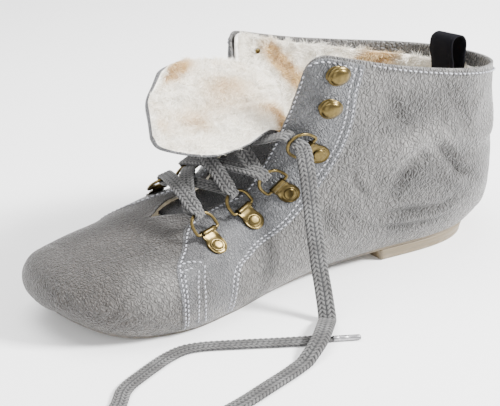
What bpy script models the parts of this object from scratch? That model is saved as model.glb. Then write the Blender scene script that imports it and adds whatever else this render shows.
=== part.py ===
"""Winter boot for the right foot: a hollow leather upper on a thin sole with a low heel, laced through D rings.

Metres, +Z up. The origin is the heel's bottom centre on the floor, the toe points to -X and the near side,
which is the foot's inner side, to -Y. Sections run through the upper from the toe's nose, over the sole and up
the back to the collar. "Row" counts these sections and "height share" runs from the sole's edge, 0, to the top
line, 1. Tables hold shares of the named sizes.
"""
import math

import bmesh
import bpy
import numpy as np
from mathutils import Vector

# Driving dimensions
LENGTH = 0.255            # upper, nose to counter
BALL_WIDTH = 0.0893       # scale of all widths: about the ball's width along the upper's lower edge
TOE_HEIGHT = 0.0402       # vamp over its lower edge at the toe box
INSTEP_HEIGHT = 0.053     # throat's edge over the upper's lower edge
COLLAR_FRONT = 0.1385     # collar's front corners over the floor
COLLAR_BACK = 0.1005      # collar's back over the floor
COLLAR_GAP = 0.0642       # between the collar's front corners
FAR_LEAN = 0.80           # far panel's half gap over the near one's
COLLAR_DIP = 0.0035       # how far the collar's sides sag
TOE_SPRING = 0.0150
HEEL_HEIGHT = 0.007
HEEL_LENGTH = 0.067
HEEL_SETBACK = 0.030      # heel's back edge behind the origin
SOLE_THICKNESS = 0.003
UPPER_WALL = 0.0024
PANEL_WALL = 0.0012       # front quarter panels over the upper
PANEL_SEAT = 0.0005       # air under the panels, which bridge the upper's curves
TONGUE_THICKNESS = 0.0045
SEAM = 0.0003             # air between neighbouring pieces
TUCK = 0.0006             # sole's edge inside the upper's lower edge

RIVET_RADIUS = 0.0029
CLIP_WIDTH = 0.0080
CLIP_THICKNESS = 0.0008
RING_WIDTH = 0.0150       # outside, along the bar
RING_DEPTH = 0.0125       # outside, bar to bow
RING_WIRE = 0.0017
HOOK_RADIUS = 0.0052
LACE_WIDTH = 0.0080
LACE_THICKNESS = 0.0018
CORD_DIAMETER = 0.0040    # free end, rounded off
AGLET_DIAMETER = 0.0030
AGLET_LENGTH = 0.0120
LOOP_WIDTH = 0.0140
LOOP_THICKNESS = 0.0012
LOOP_SEAT = 0.0016        # between the flat ribbon and the curved wall behind it

FORE_EDGE = SOLE_THICKNESS + SEAM
REAR_EDGE = HEEL_HEIGHT + SEAM + SOLE_THICKNESS + SEAM

# Upper's lower edge in plan: share of LENGTH from the back, then inner and outer half widths / BALL_WIDTH
EDGE_OUTLINE = (
    (0.022, 0.000, 0.000),
    (0.034, 0.170, 0.160),
    (0.080, 0.285, 0.275),
    (0.150, 0.335, 0.325),
    (0.260, 0.330, 0.340),
    (0.380, 0.310, 0.360),
    (0.500, 0.345, 0.395),
    (0.620, 0.440, 0.440),
    (0.720, 0.500, 0.460),
    (0.810, 0.480, 0.410),
    (0.890, 0.425, 0.325),
    (0.940, 0.310, 0.215),
    (0.966, 0.175, 0.120),
    (0.976, 0.000, 0.000),
)
# Upper's lower edge in profile: share of LENGTH, rise / TOE_SPRING, rise / (REAR_EDGE - FORE_EDGE)
EDGE_PROFILE = (
    (0.000, 0.00, 1.00),
    (0.150, 0.00, 1.00),
    (0.260, 0.00, 0.97),
    (0.380, 0.00, 0.66),
    (0.480, 0.00, 0.28),
    (0.580, 0.00, 0.05),
    (0.640, 0.00, 0.00),
    (0.780, 0.00, 0.00),
    (0.840, 0.10, 0.00),
    (0.900, 0.40, 0.00),
    (0.950, 0.78, 0.00),
    (0.978, 1.02, 0.00),
    (1.000, 1.22, 0.00),
)
# Upper's sections: foot (share of LENGTH), climb up the back (0 sole to 1 collar), top (share of LENGTH),
# level (0 floor, 1 toe, 2 instep, 3 collar front), belly (height share of the widest place), inner and outer
# half widths / BALL_WIDTH, half gap / half COLLAR_GAP, and the exponent that rounds the section's top
SECTIONS = (
    (1.000, 0.00, 1.000, 0.64, 0.50, 0.000, 0.000, 0.00, 2.00),
    (0.993, 0.00, 0.984, 0.88, 0.46, 0.225, 0.155, 0.00, 2.00),
    (0.976, 0.00, 0.950, 1.03, 0.44, 0.345, 0.240, 0.00, 2.10),
    (0.935, 0.00, 0.905, 1.11, 0.42, 0.440, 0.325, 0.00, 2.10),
    (0.880, 0.00, 0.850, 1.18, 0.40, 0.510, 0.395, 0.00, 2.20),
    (0.810, 0.00, 0.780, 1.30, 0.38, 0.555, 0.455, 0.00, 2.20),
    (0.740, 0.00, 0.715, 1.58, 0.36, 0.562, 0.490, 0.00, 2.20),
    (0.660, 0.00, 0.650, 1.80, 0.35, 0.520, 0.485, 0.36, 2.10),
    (0.560, 0.00, 0.590, 1.92, 0.34, 0.450, 0.455, 0.46, 2.10),
    (0.430, 0.00, 0.535, 2.05, 0.34, 0.400, 0.440, 0.56, 2.10),
    (0.290, 0.00, 0.497, 2.25, 0.38, 0.395, 0.415, 0.66, 2.10),
    (0.160, 0.00, 0.470, 2.46, 0.43, 0.418, 0.412, 0.76, 2.10),
    (0.080, 0.00, 0.456, 2.62, 0.45, 0.448, 0.438, 0.84, 2.15),
    (0.022, 0.00, 0.448, 2.74, 0.47, 0.468, 0.460, 0.90, 2.20),
    (0.000, 0.13, 0.443, 2.82, 0.48, 0.468, 0.460, 0.94, 2.20),
    (-0.004, 0.36, 0.440, 2.89, 0.48, 0.460, 0.455, 0.97, 2.20),
    (0.000, 0.66, 0.437, 2.95, 0.48, 0.458, 0.455, 0.99, 2.20),
    (0.003, 1.00, 0.434, 3.00, 0.48, 0.458, 0.455, 1.00, 2.20),
)
TOE_ROW, THROAT_ROW, HEEL_ROW, COLLAR_ROW = 2, 6, 13, 17
BELLY_SHARE = 0.42        # height share of the grid line that follows the widest place
LOWER_ROUND = 2.4         # exponent below the widest place
CORNER_ROWS = 2.2         # how far the collar's front corner is rounded, in rows
CORNER_SHARE = 0.80       # height share where that rounding starts

# Front quarter panel: (row, height share) up its front seam and throat edge, then up its rear seam
PANEL_FRONT = ((5.70, 0.06), (5.48, 0.59), (6.08, 0.76), (6.75, 0.90), (8.0, 0.985), (9.5, 0.985),
               (11.0, 0.985), (13.0, 0.985), (15.0, 0.985), (16.8, 0.985))
PANEL_REAR = ((7.24, 0.06), (7.40, 0.47), (8.00, 0.56), (8.50, 0.59), (9.53, 0.60), (10.95, 0.63),
              (13.14, 0.66), (14.5, 0.665), (15.8, 0.65), (16.8, 0.64))
# Rivets of the ring clips and the hooks: row, height share, twist of the clip in degrees
RINGS = {-1: ((7.02, 0.705, -16.0), (8.48, 0.745, -10.0), (9.72, 0.715, -5.0), (11.02, 0.715, -2.0)),
         1: ((7.30, 0.800, -4.0), (8.62, 0.790, -4.0), (9.78, 0.750, -4.0), (11.02, 0.730, -2.0))}
HOOKS = {-1: ((13.10, 0.775), (15.60, 0.770)), 1: ((13.10, 0.720), (15.60, 0.700))}

# Tongue under the lacing: row, and how far up the sides its edges reach (height share)
TONGUE_SEAT = ((6.75, 0.93), (7.6, 0.86), (8.8, 0.84), (10.0, 0.84))
# Tongue's folded part: near edge, middle and far edge, each as x / LENGTH, y / BALL_WIDTH, z / COLLAR_FRONT
TONGUE_FOLDS = (
    (-0.345, -0.215, 0.535, -0.338, 0.00, 0.545, -0.310, 0.220, 0.590),
    (-0.335, -0.225, 0.620, -0.305, 0.00, 0.640, -0.285, 0.225, 0.690),
    (-0.368, -0.240, 0.690, -0.305, 0.00, 0.725, -0.270, 0.225, 0.800),
    (-0.435, -0.300, 0.678, -0.375, 0.00, 0.790, -0.335, 0.235, 0.880),
    (-0.520, -0.345, 0.690, -0.470, 0.02, 0.825, -0.410, 0.290, 0.925),
    (-0.618, -0.345, 0.772, -0.555, 0.02, 0.862, -0.470, 0.270, 0.945),
    (-0.628, -0.275, 0.815, -0.575, 0.02, 0.885, -0.510, 0.185, 0.950),
)
# Free lace end: x / LENGTH, y / BALL_WIDTH, height over the floor / COLLAR_FRONT (0 lies on the floor)
LACE_AIR = (
    (-0.347, -0.440, 0.622),
    (-0.350, -0.480, 0.540),
    (-0.355, -0.525, 0.440),
    (-0.359, -0.560, 0.360),
    (-0.364, -0.625, 0.205),
    (-0.375, -0.720, 0.070),
)
LACE_FLOOR = (
    (-0.392, -0.800), (-0.444, -0.953), (-0.490, -1.045), (-0.545, -1.119), (-0.607, -1.186),
    (-0.688, -1.271), (-0.790, -1.345), (-0.885, -1.360), (-0.935, -1.260), (-0.920, -1.110),
    (-0.876, -1.010), (-0.838, -0.889), (-0.778, -0.795), (-0.700, -0.698), (-0.644, -0.686),
    (-0.563, -0.773), (-0.505, -0.844), (-0.448, -0.910), (-0.417, -0.945),
)
LACE_PASS = 0.0048        # lift of the first stretch where it lands across the tip's stretch


def catmull(rows, t, before=None):
    """Point on the uniform Catmull-Rom curve through the rows at row number t."""
    rows = np.asarray(rows, float)
    count = len(rows)
    head = 2 * rows[0] - rows[1] if before is None else np.asarray(before, float)
    points = np.vstack([head, rows, 2 * rows[-1] - rows[-2]])
    t = np.clip(np.asarray(t, float), 0, count - 1 - 1e-9)
    i = t.astype(int)
    f = (t - i)[:, None]
    a, b, c, d = points[i], points[i + 1], points[i + 2], points[i + 3]
    cubic = (3 * b - a - 3 * c + d) * f ** 3
    return 0.5 * (2 * b + (c - a) * f + (2 * a - 5 * b + 4 * c - d) * f ** 2 + cubic)


def dense_outline():
    """The edge outline as many points, with both tips rounded by their mirrored neighbours."""
    rows = np.array(EDGE_OUTLINE)
    flip = np.array([1, -1, -1])
    body = np.vstack([rows, rows[-2] * flip])
    points = catmull(body, np.linspace(0, len(rows) - 1, 900), rows[1] * flip)
    points[:, 0] = np.maximum.accumulate(points[:, 0])
    return points


OUTLINE = dense_outline()
PROFILE = catmull(EDGE_PROFILE, np.linspace(0, len(EDGE_PROFILE) - 1, 900))


def edge_halves(share):
    """Inner and outer half widths of the upper's lower edge at shares of the length."""
    share = np.asarray(share, float)
    inside = (share > EDGE_OUTLINE[0][0]) & (share < EDGE_OUTLINE[-1][0])
    inner = np.interp(share, OUTLINE[:, 0], OUTLINE[:, 1]) * BALL_WIDTH * inside
    outer = np.interp(share, OUTLINE[:, 0], OUTLINE[:, 2]) * BALL_WIDTH * inside
    return np.maximum(inner, 0), np.maximum(outer, 0)


def edge_height(share):
    """Height of the upper's lower edge over the floor."""
    toe = np.interp(share, PROFILE[:, 0], PROFILE[:, 1])
    rear = np.interp(share, PROFILE[:, 0], PROFILE[:, 2])
    return FORE_EDGE + toe * TOE_SPRING + rear * (REAR_EDGE - FORE_EDGE)


def section_table():
    """The sections in metres: foot x, foot z, top x, top z, belly, inner, outer, half gap, round."""
    levels = (FORE_EDGE, FORE_EDGE + TOE_HEIGHT, FORE_EDGE + INSTEP_HEIGHT, COLLAR_FRONT)
    rows = []
    for number, (foot, climb, top, level, belly, inner, outer, gap, rounding) in enumerate(SECTIONS):
        top_z = np.interp(level, (0, 1, 2, 3), levels)
        foot_z = edge_height(foot) + climb * (COLLAR_BACK - REAR_EDGE)
        if number == 0:
            foot_z = top_z
        rows.append((HEEL_SETBACK - foot * LENGTH, foot_z, HEEL_SETBACK - top * LENGTH, top_z, belly,
                     inner * BALL_WIDTH, outer * BALL_WIDTH, gap * COLLAR_GAP / 2, rounding))
    return np.array(rows)


TABLE = section_table()
BEFORE = TABLE[1][[2, 3, 0, 1, 4, 5, 6, 7, 8]] * np.array([1, 1, 1, 1, 1, -1, -1, 1, 1])


def wall(side, row, share):
    """Points on the upper's outer face. Side is -1 near (inner) or +1 far (outer)."""
    row = np.atleast_1d(np.asarray(row, float))
    share = np.atleast_1d(np.asarray(share, float))
    row, share = np.broadcast_arrays(row, share)
    into = np.clip((share - CORNER_SHARE) / (1 - CORNER_SHARE), 0, 1)
    ease = np.clip((row - THROAT_ROW - 5) / (COLLAR_ROW - THROAT_ROW - 5), 0, 1)
    rim = np.clip((row - HEEL_ROW + 1) / (COLLAR_ROW - HEEL_ROW + 1), 0, 1) ** 2
    row = row - CORNER_ROWS * (1 - np.sqrt(1 - into ** 2)) * ease
    foot_x, foot_z, top_x, top_z, belly, inner, outer, gap, rounding = catmull(TABLE, row, BEFORE).T
    width = np.maximum(inner if side < 0 else outer, 0)
    foot_share = (HEEL_SETBACK - foot_x) / LENGTH
    on_sole = (row >= TOE_ROW) & (row <= HEEL_ROW)
    edge = np.where(on_sole, edge_halves(foot_share)[0 if side < 0 else 1], 0)
    edge = np.minimum(edge, width * 0.98)
    foot_z = np.where(on_sole, edge_height(foot_share), foot_z)
    gap = np.where(row <= THROAT_ROW, 0, np.maximum(gap, 0)) * (1 if side < 0 else FAR_LEAN)
    foot = np.stack([foot_x, foot_z], -1)
    span = np.stack([top_x, top_z], -1) - foot
    height = np.maximum(np.linalg.norm(span, axis=-1), 1e-9)
    waist = belly * height
    low = 2 / LOWER_ROUND
    start = np.arcsin((edge / np.maximum(width, 1e-9)) ** (1 / low))
    turn = start + (math.pi / 2 - start) * np.minimum(share / BELLY_SHARE, 1)
    low_y = width * np.maximum(np.sin(turn), 0) ** low
    fall = np.maximum(np.cos(turn), 0) / np.maximum(np.cos(start), 1e-6)
    low_s = waist * (1 - fall ** low)
    turn = math.pi / 2 * np.clip((share - BELLY_SHARE) / (1 - BELLY_SHARE), 0, 1)
    high = 2 / rounding
    cosine = np.where(share >= 1 - 1e-9, 0, np.maximum(np.cos(turn), 0) ** high)
    high_y = gap + (width - gap) * cosine
    high_s = waist + (height - waist) * np.sin(turn) ** high
    below = share < BELLY_SHARE
    y = np.where(below, low_y, high_y)
    s = np.where(below, low_s, high_s) / height
    sag = COLLAR_DIP * rim * np.sin(math.pi * np.clip(share / 0.86, 0, 1)) ** 2
    return np.stack([foot[:, 0] + span[:, 0] * s, side * y, foot[:, 1] + span[:, 1] * s - sag], -1)


def wall_frame(side, row, share):
    """Unit vectors of the wall at one place: outward, up towards the top line, and along the shoe."""
    d = 2e-3
    rows = np.array([min(row + d, COLLAR_ROW), max(row - d, 0)])
    along = -np.diff(wall(side, rows, share), axis=0)[0]
    shares = np.array([min(share + d, 1), max(share - d, 0)])
    up = -np.diff(wall(side, row, shares), axis=0)[0]
    out = np.cross(up, along) * side
    out /= np.linalg.norm(out)
    up /= np.linalg.norm(up)
    return out, up, np.cross(out, up)


def offset_wall(side, row, share, distance):
    """Points at a distance outside the upper's outer face."""
    row, share = np.broadcast_arrays(np.atleast_1d(row), np.atleast_1d(share))
    points = wall(side, row, share)
    normals = np.array([wall_frame(side, r, s)[0] for r, s in zip(row, share)])
    return points + normals * distance


def material(name, color, roughness=0.6, metallic=0.0):
    """A plain Principled material."""
    made = bpy.data.materials.new(name)
    made.use_nodes = True
    shader = made.node_tree.nodes["Principled BSDF"]
    shader.inputs["Base Color"].default_value = (*color, 1)
    shader.inputs["Roughness"].default_value = roughness
    shader.inputs["Metallic"].default_value = metallic
    return made


def add(name, points, faces, finish):
    """A named object from points and faces, with equal points joined and outward normals."""
    mesh = bpy.data.meshes.new(name)
    index, places, joined = {}, [], []
    for point in points:
        key = tuple(int(round(v * 1e7)) for v in point)
        if key not in index:
            index[key] = len(places)
            places.append(tuple(float(v) for v in point))
        joined.append(index[key])
    clean = []
    for face in faces:
        ring = []
        for corner in (joined[i] for i in face):
            if not ring or ring[-1] != corner:
                ring.append(corner)
        if ring[0] == ring[-1]:
            ring.pop()
        if len(ring) > 2:
            clean.append(ring)
    mesh.from_pydata(places, [], clean)
    work = bmesh.new()
    work.from_mesh(mesh)
    bmesh.ops.recalc_face_normals(work, faces=work.faces)
    work.to_mesh(mesh)
    work.free()
    made = bpy.data.objects.new(name, mesh)
    made.data.materials.append(finish)
    BOOT.objects.link(made)
    return made


def grid_faces(rows, columns, start=0, flip=False):
    """Quads of a grid whose points run along the columns first."""
    faces = []
    for i in range(rows - 1):
        for j in range(columns - 1):
            a = start + i * columns + j
            quad = (a, a + 1, a + columns + 1, a + columns)
            faces.append(quad[::-1] if flip else quad)
    return faces


def shell(name, outer, inner, finish):
    """A closed sheet between two grids of the same shape (rows, columns, 3), rimmed all round."""
    rows, columns = outer.shape[:2]
    count = rows * columns
    points = np.concatenate([outer.reshape(-1, 3), inner.reshape(-1, 3)])
    faces = grid_faces(rows, columns) + grid_faces(rows, columns, count, True)
    rim = [j for j in range(columns)]
    rim += [i * columns + columns - 1 for i in range(1, rows)]
    rim += [(rows - 1) * columns + j for j in range(columns - 2, -1, -1)]
    rim += [i * columns for i in range(rows - 2, 0, -1)]
    for a, b in zip(rim, rim[1:] + rim[:1]):
        faces.append((b, a, a + count, b + count))
    return add(name, points, faces, finish)


def sweep(name, rings, finish, closed=False):
    """A closed tube through rings of points, capped unless it closes on itself."""
    count, size = len(rings), len(rings[0])
    points = [p for ring in rings for p in ring]
    faces = []
    for i in range(count if closed else count - 1):
        for j in range(size):
            a, b = i * size + j, i * size + (j + 1) % size
            c, d = ((i + 1) % count) * size + (j + 1) % size, ((i + 1) % count) * size + j
            faces.append((a, b, c, d))
    if not closed:
        faces.append(tuple(range(size))[::-1])
        faces.append(tuple((count - 1) * size + j for j in range(size)))
    return add(name, points, faces, finish)


def upper(finish):
    """One hollow wall, joined along the vamp and the back, open at collar, throat and underneath."""
    stations = np.concatenate([np.linspace(0, 2, 7)[:-1], np.linspace(2, 6, 11)[:-1],
                               np.linspace(6, 13, 19)[:-1], np.linspace(13, 17, 9)])
    shares = np.array([0, 0.10, 0.21, 0.32, 0.42, 0.53, 0.64, 0.75, 0.85, 0.93, 1.0])
    points, faces = [], []
    for side in (-1, 1):
        start = len(points)
        for station in stations:
            points.extend(wall(side, np.full(len(shares), station), shares))
        faces += grid_faces(len(stations), len(shares), start, side > 0)
    made = add("upper", points, faces, finish)
    thick = made.modifiers.new("wall", 'SOLIDIFY')
    thick.thickness = UPPER_WALL
    thick.offset = -1
    thick.use_even_offset = True
    return made


def sole_loop(inset, count=30):
    """Closed outline of a sole piece, shares of length and y, shifted inwards by inset (outwards if < 0)."""
    tips = EDGE_OUTLINE[0][0], EDGE_OUTLINE[-1][0]
    turn = np.linspace(0, math.pi, count)
    share = tips[0] + (tips[1] - tips[0]) * (1 - np.cos(turn)) / 2
    inner, outer = edge_halves(np.clip(share, tips[0] + 1e-6, tips[1] - 1e-6))
    inner[[0, -1]] = 0
    outer[[0, -1]] = 0
    x = HEEL_SETBACK - share * LENGTH
    loop = np.concatenate([np.stack([x, -inner], 1), np.stack([x, outer], 1)[-2:0:-1]])
    before, after = np.roll(loop, 1, 0), np.roll(loop, -1, 0)
    tangent = after - before
    tangent /= np.linalg.norm(tangent, axis=1)[:, None]
    normal = np.stack([-tangent[:, 1], tangent[:, 0]], 1)
    centre = loop.mean(0)
    if ((centre - loop) * normal).sum() < 0:
        normal = -normal
    return loop + normal * inset, count


def slab(name, inset, top, thickness, finish):
    """A flat sheet under or in the upper that follows the edge's profile. Top is its height over that edge."""
    loop, count = sole_loop(inset)
    near = loop[:count]
    far = np.vstack([loop[0], loop[:count - 2:-1]])
    lanes = np.array([0, 0.12, 0.5, 0.88, 1])
    grid = near[:, None, :] * (1 - lanes)[None, :, None] + far[:, None, :] * lanes[None, :, None]
    height = edge_height((HEEL_SETBACK - grid[:, :, 0]) / LENGTH) + top
    upper_face = np.dstack([grid, height])
    lower_face = np.dstack([grid, height - thickness])
    return shell(name, upper_face, lower_face, finish)


def heel(finish):
    """Low block under the sole's rear: a D in plan with a slanting front."""
    loop, count = sole_loop(TUCK)
    near = loop[:count]
    far = np.vstack([loop[0], loop[:count - 2:-1]])
    front = HEEL_SETBACK - HEEL_LENGTH
    x = np.concatenate([np.linspace(near[0, 0], near[0, 0] - 0.008, 6)[:-1] ** 1,
                        np.linspace(near[0, 0] - 0.008, front, 7)])
    near_y = np.interp(-x, -near[:, 0], near[:, 1])
    far_y = np.interp(-x, -far[:, 0], far[:, 1])
    edge = [(a, b) for a, b in zip(x, near_y)] + [(a, b) for a, b in zip(x, far_y)][::-1]
    edge = edge[:-1]
    taper = 0.0012
    centre = np.mean(edge, axis=0)
    top, low = [], []
    for a, b in edge:
        direction = np.array([a, b]) - centre
        direction /= np.linalg.norm(direction)
        low.append((a - direction[0] * taper, b - direction[1] * taper, 0))
        top.append((a, b, edge_height((HEEL_SETBACK - a) / LENGTH) - SEAM * 2 - SOLE_THICKNESS))
    return sweep("heel", [low, top], finish)


def panel(name, side, finish):
    """Front quarter panel over the upper, from the sole's edge to the collar and from seam to seam."""
    first = 1 / (len(PANEL_FRONT) - 1)
    up = np.concatenate([np.linspace(0, first, 7)[:-1], np.linspace(first, 1, 18)])
    across = np.linspace(0, 1, 9)
    front = catmull(PANEL_FRONT, up * (len(PANEL_FRONT) - 1))
    rear = catmull(PANEL_REAR, up * (len(PANEL_REAR) - 1))
    outer, inner = [], []
    for a, b in zip(front, rear):
        rows = a[0] + (b[0] - a[0]) * across
        shares = a[1] + (b[1] - a[1]) * across
        inner.append(offset_wall(side, rows, shares, PANEL_SEAT))
        outer.append(offset_wall(side, rows, shares, PANEL_SEAT + PANEL_WALL))
    return shell(name, np.array(outer), np.array(inner), finish)


def mount_frame(side, row, share, twist=0.0):
    """Rivet place on the panel's outer face: origin, out, towards the throat, along."""
    origin = offset_wall(side, row, share, PANEL_SEAT + PANEL_WALL)[0]
    out, up, along = wall_frame(side, row, share)
    angle = math.radians(twist) * side
    up, along = (up * math.cos(angle) + along * math.sin(angle),
                 along * math.cos(angle) - up * math.sin(angle))
    return origin, out, up, along


def place(frame, up, along, out):
    """A point given in a mount frame."""
    origin, n, u, v = frame
    return origin + u * up + v * along + n * out


CLIP_SEAT = 0.0008        # clip's plate over the curved panel
CLIP_REACH = 0.0085       # rivet to the ring's bar
BAR_LIFT = 0.0021         # bar's centre over the panel
BOW_LIFT = 0.0056         # bow's centre over the panel


def ring_clip(name, frame, finish):
    """Riveted clip: a plate that rounds off behind the rivet and curls over the ring's bar."""
    half = CLIP_WIDTH / 2
    gap = CLIP_SEAT
    curl = RING_WIRE / 2 + SEAM
    outline = []
    for angle in np.linspace(-90, 90, 7):
        turn = math.radians(angle)
        outline.append((-half * math.cos(turn), half * math.sin(turn)))
    outline = outline[::-1]
    sides = []
    for up, along in outline:
        sides.append((up, along))
    stations = [(u, h) for u, h in zip((0.0, 0.004, CLIP_REACH - curl), (half, half * 0.86, half * 0.80))]
    rings = []
    width = half * 0.80
    thick = CLIP_THICKNESS
    profile = [(-half * 0.98, 0.0012)] + [(-half * 0.75, half * 0.66), (-half * 0.35, half * 0.93), (0.001, half)]
    profile += [(0.0045, half * 0.86)]
    for up, w in profile:
        rings.append([(up, -w, gap), (up, w, gap), (up, w, gap + thick), (up, -w, gap + thick)])
    centre = (CLIP_REACH, BAR_LIFT + 0.0006)
    for angle in np.linspace(-90, 110, 8):
        turn = math.radians(angle)
        r0, r1 = curl + thick, curl
        a = (centre[0] + r0 * math.cos(turn), centre[1] + r0 * math.sin(turn))
        b = (centre[0] + r1 * math.cos(turn), centre[1] + r1 * math.sin(turn))
        rings.append([(a[0], -width, a[1]), (a[0], width, a[1]), (b[0], width, b[1]), (b[0], -width, b[1])])
    placed = [[place(frame, *corner) for corner in ring] for ring in rings]
    plate = sweep(name, placed, finish)
    head = []
    for lift, radius in ((gap + thick * 0.5, 1.0), (gap + thick + 0.0007, 1.0), (gap + thick + 0.0015, 0.72),
                         (gap + thick + 0.0019, 0.30)):
        circle = []
        for k in range(8):
            turn = math.tau * k / 8
            circle.append(place(frame, RIVET_RADIUS * radius * math.cos(turn),
                                RIVET_RADIUS * radius * math.sin(turn), lift))
        head.append(circle)
    rivet = sweep(name + "_rivet", head, finish)
    join(plate, rivet)
    return plate


def join(body, extra):
    """Fuse a second object into the first and drop it."""
    bpy.context.view_layer.update()
    fuse = body.modifiers.new("fuse", 'BOOLEAN')
    fuse.operation = 'UNION'
    fuse.solver = 'EXACT'
    fuse.object = extra
    BOOT.objects.unlink(extra)
    CUTTERS.objects.link(extra)
    extra.hide_render = True


def d_ring(name, frame, finish):
    """Wire D: a straight bar in the clip and a bow towards the throat."""
    radius = RING_WIRE / 2
    half = RING_WIDTH / 2 - radius
    reach = RING_DEPTH - RING_WIRE
    path = [(0.0, -half), (0.0, -half * 0.4), (0.0, half * 0.4), (0.0, half)]
    bend = reach - half
    for angle in np.linspace(0, 180, 9):
        turn = math.radians(angle)
        path.append((max(bend, 0.0006) + (reach - max(bend, 0.0006)) * math.sin(turn), half * math.cos(turn)))
    centre_lift = BAR_LIFT + 0.0006
    slope = (BOW_LIFT - centre_lift) / reach
    path3 = [np.array(place(frame, CLIP_REACH + up, along, centre_lift + slope * up)) for up, along in path]
    plane = np.cross(path3[3] - path3[0], path3[8] - path3[0])
    plane /= np.linalg.norm(plane)
    rings = []
    for before, here, after in zip(path3[-1:] + path3[:-1], path3, path3[1:] + path3[:1]):
        tangent = (after - here) / np.linalg.norm(after - here) + (here - before) / np.linalg.norm(here - before)
        tangent /= np.linalg.norm(tangent)
        side = np.cross(plane, tangent)
        rings.append([here + (side * math.cos(a) + plane * math.sin(a)) * radius
                      for a in np.arange(6) * math.tau / 6])
    return sweep(name, rings, finish, closed=True)


def hook(name, frame, finish):
    """Speed hook: a foot plate, a short neck and a domed head."""
    rings = []
    for lift, radius in ((CLIP_SEAT, 0.78), (CLIP_SEAT + 0.0008, 0.78), (CLIP_SEAT + 0.0010, 0.40),
                         (0.0036, 0.40), (0.0038, 1.0), (0.0046, 1.0), (0.0062, 0.78), (0.0070, 0.38)):
        rings.append([place(frame, HOOK_RADIUS * radius * math.cos(math.tau * k / 10),
                            HOOK_RADIUS * radius * math.sin(math.tau * k / 10), lift) for k in range(10)])
    return sweep(name, rings, finish)


def tongue(finish):
    """Padded tongue: seated under the lacing, then folded forward over it."""
    inside = UPPER_WALL + SEAM + TONGUE_THICKNESS + 0.0012
    net = []
    for row, reach in TONGUE_SEAT:
        sides = []
        for side in (-1, 1):
            shares = np.array([reach, reach + (1 - reach) * 0.6])
            sides.append(offset_wall(side, np.full(2, row), shares, -inside))
        middle = (wall(-1, row, 1.0)[0] + wall(1, row, 1.0)[0]) / 2
        middle = middle - np.array([0, 0, inside])
        net.append([sides[0][0], sides[0][1], middle, sides[1][1], sides[1][0]])
    for fold in TONGUE_FOLDS:
        scale = np.array([LENGTH, BALL_WIDTH, COLLAR_FRONT])
        near, middle, far = (np.array(fold[i:i + 3]) * scale for i in (0, 3, 6))
        net.append([near, near * 0.5 + middle * 0.5, middle, far * 0.5 + middle * 0.5, far])
    net = np.array(net)
    along = np.linspace(0, len(net) - 1, 27)
    lanes = [catmull(net[:, k], along) for k in range(5)]
    across = np.linspace(0, 4, 9)
    middle = np.array([catmull(np.array([lane[i] for lane in lanes]), across) for i in range(len(along))])
    du = np.gradient(middle, axis=0)
    dv = np.gradient(middle, axis=1)
    normal = np.cross(du, dv)
    normal /= np.linalg.norm(normal, axis=2)[:, :, None]
    half = np.full(middle.shape[:2], TONGUE_THICKNESS / 2)
    half[:, [0, -1]] *= 0.5
    half[[0, -1]] *= 0.5
    return shell("tongue", middle + normal * half[:, :, None], middle - normal * half[:, :, None], finish)


def bow_place(side, index):
    """Centre of a ring's bow, with the frame it stands in."""
    row, share, twist = RINGS[side][index]
    frame = mount_frame(side, row, share, twist)
    reach = RING_DEPTH - RING_WIRE
    return np.array(place(frame, CLIP_REACH + reach, 0, BOW_LIFT)), frame


LACE_WRAP = RING_WIRE / 2 + SEAM + LACE_THICKNESS / 2 + 0.0002
LACE_SQUEEZE = 0.70       # width left in a ring
LACE_ORDER = ((-1, 3), (1, 2), (-1, 1), (1, 0), (-1, 0), (1, 1), (-1, 2), (1, 3))
LACE_ARCH = (-0.0030, 0.0055, 0.0020, 0.0045, 0.0055, 0.0020, 0.0055)


def lace_crossings(finish):
    """The lacing from the near top ring to the far top ring, wrapped round each bow."""
    path, ups = [], []
    bows = [bow_place(side, index) for side, index in LACE_ORDER]
    for number, (bow, frame) in enumerate(bows):
        out, up = frame[1], frame[2]
        over = number % 2 == 0
        turns = (90, 45, 0, -45, -90) if over else (-90, -45, 0, 45, 90)
        if number == 0:
            turns = (0, -45, -90) if over else (0, 45, 90)
        if number == len(bows) - 1:
            turns = turns[:3]
        for angle in turns:
            turn = math.radians(angle)
            path.append(bow + (out * math.sin(turn) - up * math.cos(turn)) * LACE_WRAP)
            ups.append(frame[3])
        if number == len(bows) - 1:
            break
        ahead, ahead_frame = bows[number + 1]
        leave = path[-1] + up * 0.0035
        sign = 1 if (number + 1) % 2 == 0 else -1
        arrive = ahead + ahead_frame[1] * sign * LACE_WRAP + ahead_frame[2] * 0.0035
        for share in (0.0, 0.2, 0.4, 0.6, 0.8, 1.0):
            point = leave + (arrive - leave) * share
            point = point + np.array([-0.35, 0, 1]) * LACE_ARCH[number] * 4 * share * (1 - share)
            path.append(point)
            ups.append(None)
    path = np.array(path)
    tangent = np.gradient(path, axis=0)
    tangent /= np.linalg.norm(tangent, axis=1)[:, None]
    rings = []
    last = None
    for point, direction, given in zip(path, tangent, ups):
        if given is None:
            rise = np.array([-0.35, 0, 1.0])
            width = np.cross(direction, rise)
        else:
            width = given - direction * (given @ direction)
        width /= np.linalg.norm(width)
        if last is not None and width @ last < 0:
            width = -width
        last = width
        thick = np.cross(direction, width)
        spread = LACE_WIDTH / 2 * (LACE_SQUEEZE if given is not None else 1)
        rings.append([point + width * math.cos(a) * spread + thick * math.sin(a) * LACE_THICKNESS / 2
                      for a in np.arange(8) * math.tau / 8 + math.tau / 16])
    return sweep("lace_crossings", rings, finish)


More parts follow.
